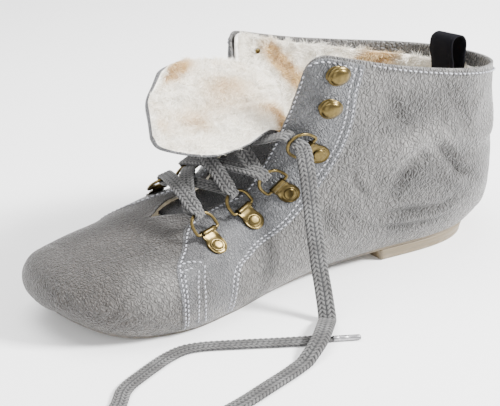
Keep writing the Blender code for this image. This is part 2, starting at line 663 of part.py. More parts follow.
def cord(name, points, diameter, finish, resolution=2):
    """A round cord along straight spans."""
    curve = bpy.data.curves.new(name, 'CURVE')
    curve.dimensions = '3D'
    curve.bevel_depth = diameter / 2
    curve.bevel_resolution = resolution
    curve.use_fill_caps = True
    spline = curve.splines.new('POLY')
    spline.points.add(len(points) - 1)
    for slot, point in zip(spline.points, points):
        slot.co = (*[float(v) for v in point], 1)
    made = bpy.data.objects.new(name, curve)
    made.data.materials.append(finish)
    BOOT.objects.link(made)
    return made


def lace_end_points():
    """The free end's centre line: from the near top ring down to the floor, out, round and back."""
    air = [(x * LENGTH, y * BALL_WIDTH, z * COLLAR_FRONT) for x, y, z in LACE_AIR]
    lie = CORD_DIAMETER / 2 + 0.0001
    floor = [(x * LENGTH, y * BALL_WIDTH, lie) for x, y in LACE_FLOOR]
    rows = np.array(air + floor)
    points = catmull(rows, np.linspace(0, len(rows) - 1, 64))
    points[:, 2] = np.maximum(points[:, 2], lie)
    return points


def free_end(lace, tip):
    """The free lace end, lifted where it lands across its own last stretch, and its aglet."""
    points = lace_end_points()
    lie = CORD_DIAMETER / 2 + 0.0001
    late = points[len(points) * 2 // 3:]
    for number in range(len(points) // 2):
        near = np.linalg.norm(late[:, :2] - points[number, :2], axis=1).min()
        lift = lie + LACE_PASS * max(0.0, 1 - (near / 0.020) ** 2)
        points[number, 2] = max(points[number, 2], lift)
    cord("lace_end", points, CORD_DIAMETER, lace)
    direction = points[-1] - points[-2]
    direction[2] = min(direction[2], 0)
    direction /= np.linalg.norm(direction)
    start = points[-1] + direction * SEAM
    end = start + direction * AGLET_LENGTH
    end[2] = max(end[2], AGLET_DIAMETER / 2 + 0.0001)
    cord("aglet", [start + (end - start) * s for s in (0, 0.33, 0.67, 1)], AGLET_DIAMETER, tip)


def pull_loop(finish):
    """Ribbon loop standing up from the collar's back."""
    back = wall(1, COLLAR_ROW, 0.0)[0]
    base_x = back[0] - UPPER_WALL - LOOP_THICKNESS - LOOP_SEAT
    path = [(base_x, back[2] - 0.016), (base_x, back[2] - 0.002), (base_x + 0.0005, back[2] + 0.006),
            (base_x - 0.0010, back[2] + 0.0105), (base_x - 0.0040, back[2] + 0.0120),
            (base_x - 0.0068, back[2] + 0.0100), (base_x - 0.0072, back[2] + 0.0040),
            (base_x - 0.0060, back[2] - 0.0040), (base_x - 0.0052, back[2] - 0.0140)]
    path = catmull(np.array(path), np.linspace(0, len(path) - 1, 17))
    tangent = np.gradient(path, axis=0)
    tangent /= np.linalg.norm(tangent, axis=1)[:, None]
    rings = []
    for (x, z), (dx, dz) in zip(path, tangent):
        a, b = LOOP_THICKNESS / 2, LOOP_WIDTH / 2
        corners = ((a, -b), (a, b), (-a, b), (-a, -b))
        rings.append([(x - dz * c, w, z + dx * c) for c, w in corners])
    return sweep("pull_loop", rings, finish)


for old in list(bpy.data.objects):
    bpy.data.objects.remove(old)

BOOT = bpy.data.collections.new("winter_boot")
CUTTERS = bpy.data.collections.new("cutters")
bpy.context.scene.collection.children.link(BOOT)
bpy.context.scene.collection.children.link(CUTTERS)

leather = material("leather", (0.30, 0.29, 0.28), 0.7)
panel_leather = material("panel_leather", (0.33, 0.34, 0.35), 0.6)
lining = material("lining", (0.82, 0.74, 0.62), 0.9)
sole_stock = material("sole_stock", (0.55, 0.45, 0.33), 0.7)
brass = material("brass", (0.42, 0.31, 0.14), 0.35, 1.0)
braid = material("braid", (0.34, 0.33, 0.32), 0.8)
ribbon = material("ribbon", (0.02, 0.02, 0.03), 0.7)
tip_metal = material("tip_metal", (0.55, 0.55, 0.56), 0.4, 1.0)

upper(leather)
slab("outsole", TUCK, -SEAM, SOLE_THICKNESS, sole_stock)
heel(sole_stock)
for side, word in ((-1, "near"), (1, "far")):
    panel("facing_" + word, side, panel_leather)
    for number, (row, share, twist) in enumerate(RINGS[side], 1):
        frame = mount_frame(side, row, share, twist)
        ring_clip("ring_clip_%s_%d" % (word, number), frame, brass)
        d_ring("d_ring_%s_%d" % (word, number), frame, brass)
    for number, (row, share) in enumerate(HOOKS[side], 1):
        hook("hook_%s_%d" % (word, number), mount_frame(side, row, share), brass)
tongue(lining)
pull_loop(ribbon)
lace_crossings(braid)
free_end(braid, tip_metal)
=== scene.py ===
"""Looks of a laced winter boot: grained leather, a deep fleece lining, a flat braided lace and antique brass.

Metres, +Z up, in the shoe's own frame: the toe points to -X and the near side, the foot's inner side, to -Y.
Places on the upper are given as a row, counted from the toe's nose to the collar, and a height share, from
the sole's edge, 0, to the top line, 1.
"""

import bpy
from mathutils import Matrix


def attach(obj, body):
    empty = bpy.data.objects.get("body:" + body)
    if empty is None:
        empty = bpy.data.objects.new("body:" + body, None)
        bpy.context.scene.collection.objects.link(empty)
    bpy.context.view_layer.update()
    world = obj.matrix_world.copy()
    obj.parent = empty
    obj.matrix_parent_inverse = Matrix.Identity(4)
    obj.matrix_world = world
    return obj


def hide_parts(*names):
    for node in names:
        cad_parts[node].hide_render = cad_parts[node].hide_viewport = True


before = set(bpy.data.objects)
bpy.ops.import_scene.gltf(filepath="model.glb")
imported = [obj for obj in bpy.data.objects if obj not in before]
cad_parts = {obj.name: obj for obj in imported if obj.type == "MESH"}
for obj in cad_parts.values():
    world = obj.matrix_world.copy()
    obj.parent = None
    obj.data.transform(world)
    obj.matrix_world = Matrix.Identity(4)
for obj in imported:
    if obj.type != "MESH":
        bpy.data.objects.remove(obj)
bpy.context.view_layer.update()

import logging
import math
from dataclasses import dataclass, field
from enum import Enum, IntEnum
from typing import Callable, Sequence

import bpy
import numpy as np
from mathutils import Matrix, Vector, noise

LOG = logging.getLogger("winter_boot")


class Side(IntEnum):
    """A side of the boot; its number is the sign of Y there."""

    NEAR = -1
    FAR = 1

    @property
    def word(self) -> str:
        """The side's word in a piece's name."""
        return self.name.lower()


NEAR, FAR = Side.NEAR, Side.FAR

# The shoe's own sizes
LENGTH = 0.255
BALL_WIDTH = 0.0893
TOE_HEIGHT = 0.0402
INSTEP_HEIGHT = 0.053
COLLAR_FRONT = 0.1385
COLLAR_BACK = 0.1005
COLLAR_GAP = 0.0642
FAR_LEAN = 0.80
COLLAR_DIP = 0.0035
TOE_SPRING = 0.0150
HEEL_HEIGHT = 0.007
HEEL_SETBACK = 0.030
SOLE_THICKNESS = 0.003
INSOLE_THICKNESS = 0.0025
UPPER_WALL = 0.0024
LEATHER = 0.0012          # leather's own part of the wall; the lining takes the rest
PANEL_WALL = 0.0012
PANEL_SEAT = 0.0005
SEAM = 0.0003
FORE_EDGE = SOLE_THICKNESS + SEAM
REAR_EDGE = HEEL_HEIGHT + SEAM + SOLE_THICKNESS + SEAM

CLIP_REACH = 0.0085
BAR_LIFT = 0.0027
BOW_LIFT = 0.0056
RING_WIDTH = 0.0150
RING_DEPTH = 0.0125
RING_WIRE = 0.0017
LACE_THICKNESS = 0.0018
CORD_DIAMETER = 0.0040

# Lower edge in plan: share of LENGTH from the back, inner and outer half widths / BALL_WIDTH
EDGE_OUTLINE = (
    (0.022, 0.000, 0.000), (0.034, 0.170, 0.160), (0.080, 0.285, 0.275), (0.150, 0.335, 0.325),
    (0.260, 0.330, 0.340), (0.380, 0.310, 0.360), (0.500, 0.345, 0.395), (0.620, 0.440, 0.440),
    (0.720, 0.500, 0.460), (0.810, 0.480, 0.410), (0.890, 0.425, 0.325), (0.940, 0.310, 0.215),
    (0.966, 0.175, 0.120), (0.976, 0.000, 0.000),
)
# Lower edge in profile: share of LENGTH, rise / TOE_SPRING, rise / (REAR_EDGE - FORE_EDGE)
EDGE_PROFILE = (
    (0.000, 0.00, 1.00), (0.150, 0.00, 1.00), (0.260, 0.00, 0.97), (0.380, 0.00, 0.66), (0.480, 0.00, 0.28),
    (0.580, 0.00, 0.05), (0.640, 0.00, 0.00), (0.780, 0.00, 0.00), (0.840, 0.10, 0.00), (0.900, 0.40, 0.00),
    (0.950, 0.78, 0.00), (0.978, 1.02, 0.00), (1.000, 1.22, 0.00),
)
# Sections: foot, climb up the back, top, level, belly, inner and outer half widths, half gap, rounding
SECTIONS = (
    (1.000, 0.00, 1.000, 0.64, 0.50, 0.000, 0.000, 0.00, 2.00),
    (0.993, 0.00, 0.984, 0.88, 0.46, 0.225, 0.155, 0.00, 2.00),
    (0.976, 0.00, 0.950, 1.03, 0.44, 0.345, 0.240, 0.00, 2.10),
    (0.935, 0.00, 0.905, 1.11, 0.42, 0.440, 0.325, 0.00, 2.10),
    (0.880, 0.00, 0.850, 1.18, 0.40, 0.510, 0.395, 0.00, 2.20),
    (0.810, 0.00, 0.780, 1.30, 0.38, 0.555, 0.455, 0.00, 2.20),
    (0.740, 0.00, 0.715, 1.58, 0.36, 0.562, 0.490, 0.00, 2.20),
    (0.660, 0.00, 0.650, 1.80, 0.35, 0.520, 0.485, 0.36, 2.10),
    (0.560, 0.00, 0.590, 1.92, 0.34, 0.450, 0.455, 0.46, 2.10),
    (0.430, 0.00, 0.535, 2.05, 0.34, 0.400, 0.440, 0.56, 2.10),
    (0.290, 0.00, 0.497, 2.25, 0.38, 0.395, 0.415, 0.66, 2.10),
    (0.160, 0.00, 0.470, 2.46, 0.43, 0.418, 0.412, 0.76, 2.10),
    (0.080, 0.00, 0.456, 2.62, 0.45, 0.448, 0.438, 0.84, 2.15),
    (0.022, 0.00, 0.448, 2.74, 0.47, 0.468, 0.460, 0.90, 2.20),
    (0.000, 0.13, 0.443, 2.82, 0.48, 0.468, 0.460, 0.94, 2.20),
    (-0.004, 0.36, 0.440, 2.89, 0.48, 0.460, 0.455, 0.97, 2.20),
    (0.000, 0.66, 0.437, 2.95, 0.48, 0.458, 0.455, 0.99, 2.20),
    (0.003, 1.00, 0.434, 3.00, 0.48, 0.458, 0.455, 1.00, 2.20),
)
TOE_ROW, THROAT_ROW, HEEL_ROW, COLLAR_ROW = 2, 6, 13, 17
BELLY_SHARE = 0.42
LOWER_ROUND = 2.4
CORNER_ROWS = 3.1
CORNER_SHARE = 0.79

# Edges of a front quarter panel from the sole up: row, height share
PANEL_FRONT = ((5.70, 0.06), (5.48, 0.59), (6.08, 0.76), (6.75, 0.90), (8.0, 0.985), (9.5, 0.985),
               (11.0, 0.985), (13.0, 0.985), (15.0, 0.985), (16.8, 0.985))
PANEL_REAR = ((7.24, 0.06), (7.40, 0.47), (8.00, 0.56), (8.50, 0.59), (9.53, 0.60), (10.95, 0.63),
              (13.14, 0.66), (14.5, 0.665), (15.8, 0.65), (16.8, 0.64))
# Ring clips from the throat's foot up: row, height share, twist in degrees
RINGS = {NEAR: ((7.02, 0.705, -16.0), (8.48, 0.745, -10.0), (9.72, 0.715, -5.0), (11.02, 0.715, -2.0)),
         FAR: ((7.30, 0.800, -4.0), (8.62, 0.790, -4.0), (9.78, 0.750, -4.0), (11.02, 0.730, -2.0))}
# Speed hooks: row, height share
HOOKS = {NEAR: ((13.10, 0.775), (15.60, 0.770)), FAR: ((13.10, 0.720), (15.60, 0.700))}
# Rows of thread over a panel's front bar: row, height share
BAR_ROWS = (
    ((5.62, 0.668), (6.00, 0.672), (6.44, 0.640)),
    ((5.60, 0.632), (5.95, 0.636), (6.20, 0.620)),
    ((6.42, 0.630), (6.24, 0.520), (6.26, 0.370), (6.34, 0.20), (6.42, 0.10)),
    ((6.20, 0.615), (6.03, 0.520), (6.03, 0.400), (6.10, 0.22), (6.18, 0.10)),
    ((5.74, 0.62), (5.66, 0.52), (5.72, 0.36), (5.80, 0.20), (5.86, 0.10)),
)
# Where the tongue lies under the throat's edge: row, height share
TONGUE_SEAT = ((6.75, 0.93), (7.6, 0.86), (8.8, 0.84), (10.0, 0.84))
# The tongue beyond the throat: near edge, middle, far edge, each x / LENGTH, y / BALL_WIDTH, z / COLLAR_FRONT
TONGUE_FOLDS = (
    (-0.345, -0.215, 0.535, -0.338, 0.00, 0.545, -0.310, 0.220, 0.590),
    (-0.335, -0.225, 0.620, -0.305, 0.00, 0.640, -0.285, 0.225, 0.690),
    (-0.368, -0.240, 0.690, -0.305, 0.00, 0.725, -0.270, 0.225, 0.800),
    (-0.435, -0.300, 0.678, -0.375, 0.00, 0.790, -0.335, 0.235, 0.880),
    (-0.520, -0.345, 0.690, -0.470, 0.02, 0.825, -0.410, 0.290, 0.925),
    (-0.618, -0.345, 0.772, -0.555, 0.02, 0.862, -0.470, 0.270, 0.945),
    (-0.628, -0.275, 0.815, -0.575, 0.02, 0.885, -0.510, 0.185, 0.950),
)
# The hanging end: x / LENGTH, y / BALL_WIDTH, z / COLLAR_FRONT
LACE_AIR = (
    (-0.347, -0.440, 0.622), (-0.350, -0.480, 0.540), (-0.355, -0.525, 0.440), (-0.359, -0.560, 0.360),
    (-0.364, -0.625, 0.205), (-0.375, -0.720, 0.070),
)
# The end on the floor: x / LENGTH, y / BALL_WIDTH
LACE_FLOOR = (
    (-0.392, -0.800), (-0.444, -0.953), (-0.490, -1.045), (-0.545, -1.119), (-0.607, -1.186),
    (-0.688, -1.271), (-0.790, -1.345), (-0.885, -1.360), (-0.935, -1.260), (-0.920, -1.110),
    (-0.876, -1.010), (-0.838, -0.889), (-0.778, -0.795), (-0.700, -0.698), (-0.644, -0.686),
    (-0.563, -0.773), (-0.505, -0.844), (-0.448, -0.910), (-0.417, -0.945),
)
# Rings in the order that the lace meets them: side, number from 0
LACE_ORDER = ((NEAR, 3), (FAR, 2), (NEAR, 1), (FAR, 0), (NEAR, 0), (FAR, 1), (NEAR, 2), (FAR, 3))
# How high each crossing arches between its rings
LACE_ARCH = (-0.0030, 0.0055, 0.0020, 0.0045, 0.0055, 0.0020, 0.0055)
LACE_WRAP = RING_WIRE / 2 + SEAM + LACE_THICKNESS / 2 + 0.0002


def catmull(rows: Sequence, t: np.ndarray, before: Sequence | None = None) -> np.ndarray:
    """Point on the uniform Catmull-Rom curve through the rows.

    Args:
        rows: the curve's control rows.
        t: row numbers, whole or between.
        before: the row that stands ahead of the first, or None for a straight start.

    Returns:
        One interpolated row for each t.
    """
    rows = np.asarray(rows, float)
    count = len(rows)
    head = 2 * rows[0] - rows[1] if before is None else np.asarray(before, float)
    points = np.vstack([head, rows, 2 * rows[-1] - rows[-2]])
    t = np.clip(np.asarray(t, float), 0, count - 1 - 1e-9)
    i = t.astype(int)
    f = (t - i)[:, None]
    a, b, c, d = points[i], points[i + 1], points[i + 2], points[i + 3]
    cubic = (3 * b - a - 3 * c + d) * f ** 3
    return 0.5 * (2 * b + (c - a) * f + (2 * a - 5 * b + 4 * c - d) * f ** 2 + cubic)


def unit(vectors: np.ndarray) -> np.ndarray:
    """Vectors scaled to length one along their last axis."""
    return vectors / np.maximum(np.linalg.norm(vectors, axis=-1, keepdims=True), 1e-12)


def smooth(value: np.ndarray) -> np.ndarray:
    """The smooth step from 0 to 1."""
    value = np.clip(value, 0, 1)
    return value * value * (3 - 2 * value)


class Last:
    """The upper's outer face, worked out from its sections."""

    def __init__(self) -> None:
        """Works out the lower edge and the sections."""
        rows = np.array(EDGE_OUTLINE)
        flip = np.array([1, -1, -1])
        body = np.vstack([rows, rows[-2] * flip])
        self.outline = catmull(body, np.linspace(0, len(rows) - 1, 900), rows[1] * flip)
        self.outline[:, 0] = np.maximum.accumulate(self.outline[:, 0])
        self.profile = catmull(EDGE_PROFILE, np.linspace(0, len(EDGE_PROFILE) - 1, 900))
        self.table = self.sections()
        self.before = self.table[1][[2, 3, 0, 1, 4, 5, 6, 7, 8]] * np.array([1, 1, 1, 1, 1, -1, -1, 1, 1])

    def edge_halves(self, share: np.ndarray) -> tuple[np.ndarray, np.ndarray]:
        """Inner and outer half widths of the lower edge at shares of the length.

        Args:
            share: shares of the length from the back.

        Returns:
            The inner and the outer half widths in metres.
        """
        share = np.asarray(share, float)
        inside = (share > EDGE_OUTLINE[0][0]) & (share < EDGE_OUTLINE[-1][0])
        inner = np.interp(share, self.outline[:, 0], self.outline[:, 1]) * BALL_WIDTH * inside
        outer = np.interp(share, self.outline[:, 0], self.outline[:, 2]) * BALL_WIDTH * inside
        return np.maximum(inner, 0), np.maximum(outer, 0)

    def edge_height(self, share: np.ndarray) -> np.ndarray:
        """Height of the lower edge over the floor."""
        toe = np.interp(share, self.profile[:, 0], self.profile[:, 1])
        rear = np.interp(share, self.profile[:, 0], self.profile[:, 2])
        return FORE_EDGE + toe * TOE_SPRING + rear * (REAR_EDGE - FORE_EDGE)

    def sections(self) -> np.ndarray:
        """The sections in metres.

        Returns:
            One row for each section.
        """
        levels = (FORE_EDGE, FORE_EDGE + TOE_HEIGHT, FORE_EDGE + INSTEP_HEIGHT, COLLAR_FRONT)
        rows = []
        for number, (foot, climb, top, level, belly, inner, outer, gap, rounding) in enumerate(SECTIONS):
            top_z = np.interp(level, (0, 1, 2, 3), levels)
            foot_z = self.edge_height(foot) + climb * (COLLAR_BACK - REAR_EDGE)
            if number == 0:
                foot_z = top_z
            rows.append((HEEL_SETBACK - foot * LENGTH, foot_z, HEEL_SETBACK - top * LENGTH, top_z, belly,
                         inner * BALL_WIDTH, outer * BALL_WIDTH, gap * COLLAR_GAP / 2, rounding))
        return np.array(rows)

    def wall(self, side: Side, row: np.ndarray, share: np.ndarray) -> np.ndarray:
        """Points on the outer face at rows and height shares of one side.

        Args:
            side: which side.
            row: rows from the toe.
            share: height shares.

        Returns:
            One point in metres for each place.
        """
        row, share = np.broadcast_arrays(np.atleast_1d(np.asarray(row, float)),
                                         np.atleast_1d(np.asarray(share, float)))
        into = np.clip((share - CORNER_SHARE) / (1 - CORNER_SHARE), 0, 1)
        ease = np.clip((row - THROAT_ROW - 5) / (COLLAR_ROW - THROAT_ROW - 5), 0, 1)
        rim = np.clip((row - HEEL_ROW + 1) / (COLLAR_ROW - HEEL_ROW + 1), 0, 1) ** 2
        row = row - CORNER_ROWS * (1 - np.sqrt(1 - into ** 2)) * ease
        places = catmull(self.table, row, self.before)
        foot_x, foot_z, top_x, top_z, belly, inner, outer, gap, rounding = places.T
        width = np.maximum(inner if side == NEAR else outer, 0)
        foot_share = (HEEL_SETBACK - foot_x) / LENGTH
        on_sole = (row >= TOE_ROW) & (row <= HEEL_ROW)
        edge = np.where(on_sole, self.edge_halves(foot_share)[0 if side == NEAR else 1], 0)
        edge = np.minimum(edge, width * 0.98)
        foot_z = np.where(on_sole, self.edge_height(foot_share), foot_z)
        gap = np.where(row <= THROAT_ROW, 0, np.maximum(gap, 0)) * (1 if side == NEAR else FAR_LEAN)
        foot = np.stack([foot_x, foot_z], -1)
        span = np.stack([top_x, top_z], -1) - foot
        height = np.maximum(np.linalg.norm(span, axis=-1), 1e-9)
        waist = belly * height
        low = 2 / LOWER_ROUND
        start = np.arcsin((edge / np.maximum(width, 1e-9)) ** (1 / low))
        turn = start + (math.pi / 2 - start) * np.minimum(share / BELLY_SHARE, 1)
        low_y = width * np.maximum(np.sin(turn), 0) ** low
        fall = np.maximum(np.cos(turn), 0) / np.maximum(np.cos(start), 1e-6)
        low_s = waist * (1 - fall ** low)
        turn = math.pi / 2 * np.clip((share - BELLY_SHARE) / (1 - BELLY_SHARE), 0, 1)
        high = 2 / rounding
        cosine = np.where(share >= 1 - 1e-9, 0, np.maximum(np.cos(turn), 0) ** high)
        high_y = gap + (width - gap) * cosine
        high_s = waist + (height - waist) * np.sin(turn) ** high
        below = share < BELLY_SHARE
        y = np.where(below, low_y, high_y)
        s = np.where(below, low_s, high_s) / height
        sag = COLLAR_DIP * rim * np.sin(math.pi * np.clip(share / 0.86, 0, 1)) ** 2
        return np.stack([foot[:, 0] + span[:, 0] * s, side * y, foot[:, 1] + span[:, 1] * s - sag], -1)

    def frames(self, side: Side, row: np.ndarray, share: np.ndarray) -> tuple[np.ndarray, ...]:
        """Points with unit vectors outward, up towards the top line, and along the shoe.

        Args:
            side: which side.
            row: rows from the toe.
            share: height shares.

        Returns:
            The points and three unit vectors at each.
        """
        row, share = np.broadcast_arrays(np.atleast_1d(np.asarray(row, float)),
                                         np.atleast_1d(np.asarray(share, float)))
        d = 2e-3
        points = self.wall(side, row, share)
        along = self.wall(side, np.minimum(row + d, COLLAR_ROW), share)
        along = along - self.wall(side, np.maximum(row - d, 0), share)
        up = self.wall(side, row, np.minimum(share + d, 1)) - self.wall(side, row, np.maximum(share - d, 0))
        out = unit(np.cross(up, along) * side)
        up = unit(up)
        return points, out, up, np.cross(out, up)


LAST = Last()


@dataclass(frozen=True)
class Crease:
    """A soft trough or ridge that runs over the leather through places on one side."""

    side: Side
    places: tuple[tuple[float, float], ...]
    depth: float          # metres, over 0 for a ridge
    width: float


CREASES = (
    Crease(NEAR, ((3.05, 1.0), (2.78, 0.97), (2.10, 0.77), (1.85, 0.50), (1.95, 0.25)), -0.00016, 0.0020),
    Crease(NEAR, ((3.30, 1.0), (2.95, 0.90), (2.45, 0.72), (2.30, 0.50)), -0.00012, 0.0016),
    Crease(FAR, ((3.05, 1.0), (2.85, 0.85), (2.50, 0.65)), -0.00014, 0.0020),
    Crease(NEAR, ((3.30, 0.30), (3.55, 0.42), (4.00, 0.55), (4.40, 0.61)), -0.00040, 0.0016),
    Crease(NEAR, ((3.70, 0.22), (4.00, 0.34), (4.45, 0.45)), -0.00035, 0.0014),
    Crease(NEAR, ((4.40, 0.55), (5.00, 0.62), (5.46, 0.63)), 0.00060, 0.0050),
    Crease(NEAR, ((14.30, 0.42), (13.26, 0.44), (12.34, 0.445), (11.66, 0.43), (10.90, 0.40)),
           -0.00110, 0.0028),
    Crease(NEAR, ((10.45, 0.38), (10.86, 0.33), (11.34, 0.28), (11.94, 0.26), (13.14, 0.31)),
           -0.00095, 0.0026),
    Crease(NEAR, ((16.30, 0.14), (15.60, 0.22), (14.98, 0.37), (14.10, 0.45), (13.14, 0.49), (12.20, 0.50)),
           0.00110, 0.0042),
    Crease(NEAR, ((11.55, 0.58), (11.05, 0.55), (10.80, 0.48), (10.86, 0.42)), -0.00060, 0.0016),
    Crease(NEAR, ((15.80, 0.57), (15.18, 0.54), (14.62, 0.51), (14.18, 0.48)), -0.00070, 0.0030),
    Crease(NEAR, ((14.60, 0.43), (14.22, 0.39), (13.82, 0.35), (13.85, 0.28)), -0.00105, 0.0026),
    Crease(NEAR, ((14.40, 0.30), (13.95, 0.34), (13.40, 0.37)), -0.00060, 0.0020),
    Crease(NEAR, ((11.70, 0.16), (11.00, 0.18), (10.58, 0.23), (10.40, 0.29)), -0.00065, 0.0020),
    Crease(NEAR, ((10.40, 0.50), (10.20, 0.43), (10.20, 0.36), (10.34, 0.27)), -0.00055, 0.0018),
    Crease(NEAR, ((9.90, 0.50), (9.70, 0.42), (9.75, 0.34)), -0.00045, 0.0017),
    Crease(NEAR, ((9.30, 0.46), (9.15, 0.38), (9.25, 0.30)), -0.00035, 0.0016),
    Crease(NEAR, ((16.50, 0.40), (15.90, 0.36), (15.30, 0.34)), -0.00060, 0.0026),
    Crease(NEAR, ((16.60, 0.26), (16.00, 0.30), (15.40, 0.30)), 0.00055, 0.0030),
    Crease(FAR, ((14.50, 0.35), (13.50, 0.40), (12.40, 0.42), (11.20, 0.40)), -0.00090, 0.0030),
    Crease(FAR, ((15.60, 0.25), (14.60, 0.42), (13.60, 0.48)), 0.00080, 0.0040),
    Crease(FAR, ((10.40, 0.45), (10.20, 0.35), (10.35, 0.25)), -0.00060, 0.0022),
    Crease(FAR, ((4.40, 0.50), (4.00, 0.36), (3.60, 0.24)), -0.00040, 0.0018),
)

CREASE_STRENGTH = 1.7


class Relief:
    """Height of the leather's creases and slow waves over its smooth form."""

    def __init__(self) -> None:
        """Lays the creases' lines and the metal pieces' places on the last."""
        self.lines: list[tuple[np.ndarray, float, float]] = []
        for crease in CREASES:
            places = catmull(crease.places, np.linspace(0, len(crease.places) - 1, 40))
            line = LAST.wall(crease.side, places[:, 0], places[:, 1])
            self.lines.append((line, crease.depth, crease.width))
        mounts = [(side, row, share) for side in RINGS for row, share, _ in RINGS[side]]
        mounts += [(side, row, share) for side in HOOKS for row, share in HOOKS[side]]
        self.mounts = np.array([LAST.wall(side, row, share)[0] for side, row, share in mounts])

    def height(self, points: np.ndarray) -> np.ndarray:
        """Metres out of the smooth form at points on it, nothing under the metal pieces.

        Args:
            points: places on the smooth form.

        Returns:
            Metres outward at each point.
        """
        total = np.array([0.00030 * noise.noise(Vector(p) * 55) + 0.00012 * noise.noise(Vector(p) * 160)
                          for p in points])
        for line, depth, width in self.lines:
            reach = width * 3.2
            inside = np.all((points > line.min(0) - reach) & (points < line.max(0) + reach), axis=1)
            if not inside.any():
                continue
            gap = np.linalg.norm(points[inside][:, None] - line[None], axis=2)
            near = gap.min(1)
            fade = np.sin(np.pi * np.clip(gap.argmin(1) / (len(line) - 1), 0.02, 0.98)) ** 0.6
            shoulder = np.exp(-((near - 2.0 * width) / (0.85 * width)) ** 2)
            swell = np.exp(-(near / width) ** 2) - 0.42 * shoulder
            total[inside] += fade * depth * swell * CREASE_STRENGTH
        away = np.linalg.norm(points[:, None] - self.mounts[None], axis=2).min(1)
        return total * smooth((away - 0.004) / 0.006)


RELIEF = Relief()


def skin(side: Side, row: np.ndarray, share: np.ndarray, lift: np.ndarray | float) -> np.ndarray:
    """Points at a lift over the creased leather at places of one side.

    Args:
        side: which side.
        row: rows from the toe.
        share: height shares.
        lift: metres over the leather.

    Returns:
        One point in metres for each place.
    """
    points, out, _, _ = LAST.frames(side, row, share)
    lift = np.broadcast_to(np.asarray(lift, float), len(points))
    return points + out * (lift + RELIEF.height(points))[:, None]


@dataclass(frozen=True)
class Patch:
    """A soft spot in the leather's shade and warmth, for its own tone, painted shade in a crease or a painted
    highlight on a ridge: shade under 0 is darker, warm over 0 is browner.
    """

    side: Side
    row: float
    share: float
    radius: float
    shade: float
    warm: float = 0.0


# Dark spots at rows 1.9, 2.1 and 3.46, and on the rear quarter at rows 9.94 to 16.4, lie in crease troughs:
# painted shade. Light spots at rows 4.4 and 5.2, and at rows 13.1 to 15.8, lie on ridges: painted highlights.
# The rest are the leather's own tone.
PATCHES = (
    Patch(NEAR, 2.98, 0.71, 0.022, -0.12, 0.10), Patch(NEAR, 4.58, 0.98, 0.026, -0.20, 0.25),
    Patch(NEAR, 6.10, 0.97, 0.018, -0.28, 0.00), Patch(FAR, 5.60, 0.95, 0.018, -0.20, 0.00),
    Patch(NEAR, 5.20, 0.60, 0.016, 0.34, -0.45), Patch(NEAR, 4.40, 0.52, 0.016, 0.16, -0.25),
    Patch(NEAR, 4.00, 0.25, 0.020, 0.02, 0.30), Patch(NEAR, 2.10, 0.75, 0.007, -0.14, 0.10),
    Patch(NEAR, 1.90, 0.50, 0.008, -0.12, 0.10), Patch(NEAR, 3.46, 0.30, 0.012, -0.16, 0.10),
    Patch(NEAR, 15.26, 0.48, 0.012, -0.24), Patch(NEAR, 14.62, 0.51, 0.010, -0.20),
    Patch(NEAR, 13.90, 0.36, 0.012, -0.40, 0.15), Patch(NEAR, 14.10, 0.28, 0.010, -0.25, 0.10),
    Patch(NEAR, 11.86, 0.42, 0.010, -0.22), Patch(NEAR, 12.60, 0.42, 0.008, -0.18),
    Patch(NEAR, 10.90, 0.25, 0.013, -0.20), Patch(NEAR, 11.90, 0.24, 0.012, -0.18),
    Patch(NEAR, 16.40, 0.37, 0.012, -0.24, 0.15), Patch(NEAR, 15.82, 0.37, 0.009, -0.18, 0.10),
    Patch(NEAR, 14.98, 0.40, 0.008, 0.24, 0.05), Patch(NEAR, 14.00, 0.46, 0.009, 0.26, 0.05),
    Patch(NEAR, 13.10, 0.50, 0.010, 0.20), Patch(NEAR, 15.80, 0.15, 0.011, 0.32),
    Patch(NEAR, 12.80, 0.12, 0.018, 0.14), Patch(NEAR, 9.94, 0.47, 0.010, -0.18),
    Patch(NEAR, 8.94, 0.28, 0.016, 0.12), Patch(NEAR, 7.26, 0.56, 0.010, 0.14),
    Patch(NEAR, 6.15, 0.48, 0.007, -0.16, 0.55), Patch(NEAR, 6.00, 0.30, 0.010, -0.05, 0.30),
    Patch(NEAR, 12.00, 0.80, 0.014, 0.08, -0.20),
)

PATCH_STRENGTH = 1.7


def tones(points: np.ndarray) -> tuple[np.ndarray, np.ndarray]:
    """Shade, 0 dark to 1 light, and warmth, 0 grey to 1 brown, of the leather at points; the shade holds the
    leather's tone with the patches' painted shade and highlights.

    Args:
        points: places on the leather.

    Returns:
        The shade and the warmth at each point.
    """
    rear = smooth((points[:, 0] + 0.155) / 0.05)
    shade = 0.20 + 0.22 * rear
    warm = 0.72 - 0.50 * rear
    for patch in PATCHES:
        centre = LAST.wall(patch.side, patch.row, patch.share)[0]
        weight = np.exp(-(np.linalg.norm(points - centre, axis=1) / patch.radius) ** 2)
        shade = shade + weight * patch.shade * PATCH_STRENGTH
        warm = warm + weight * patch.warm
    drift = np.array([noise.noise(Vector(p) * 70 + Vector((3, 1, 7))) for p in points])
    return np.clip(shade + 0.10 * drift, 0, 1), np.clip(warm + 0.10 * drift, 0, 1)


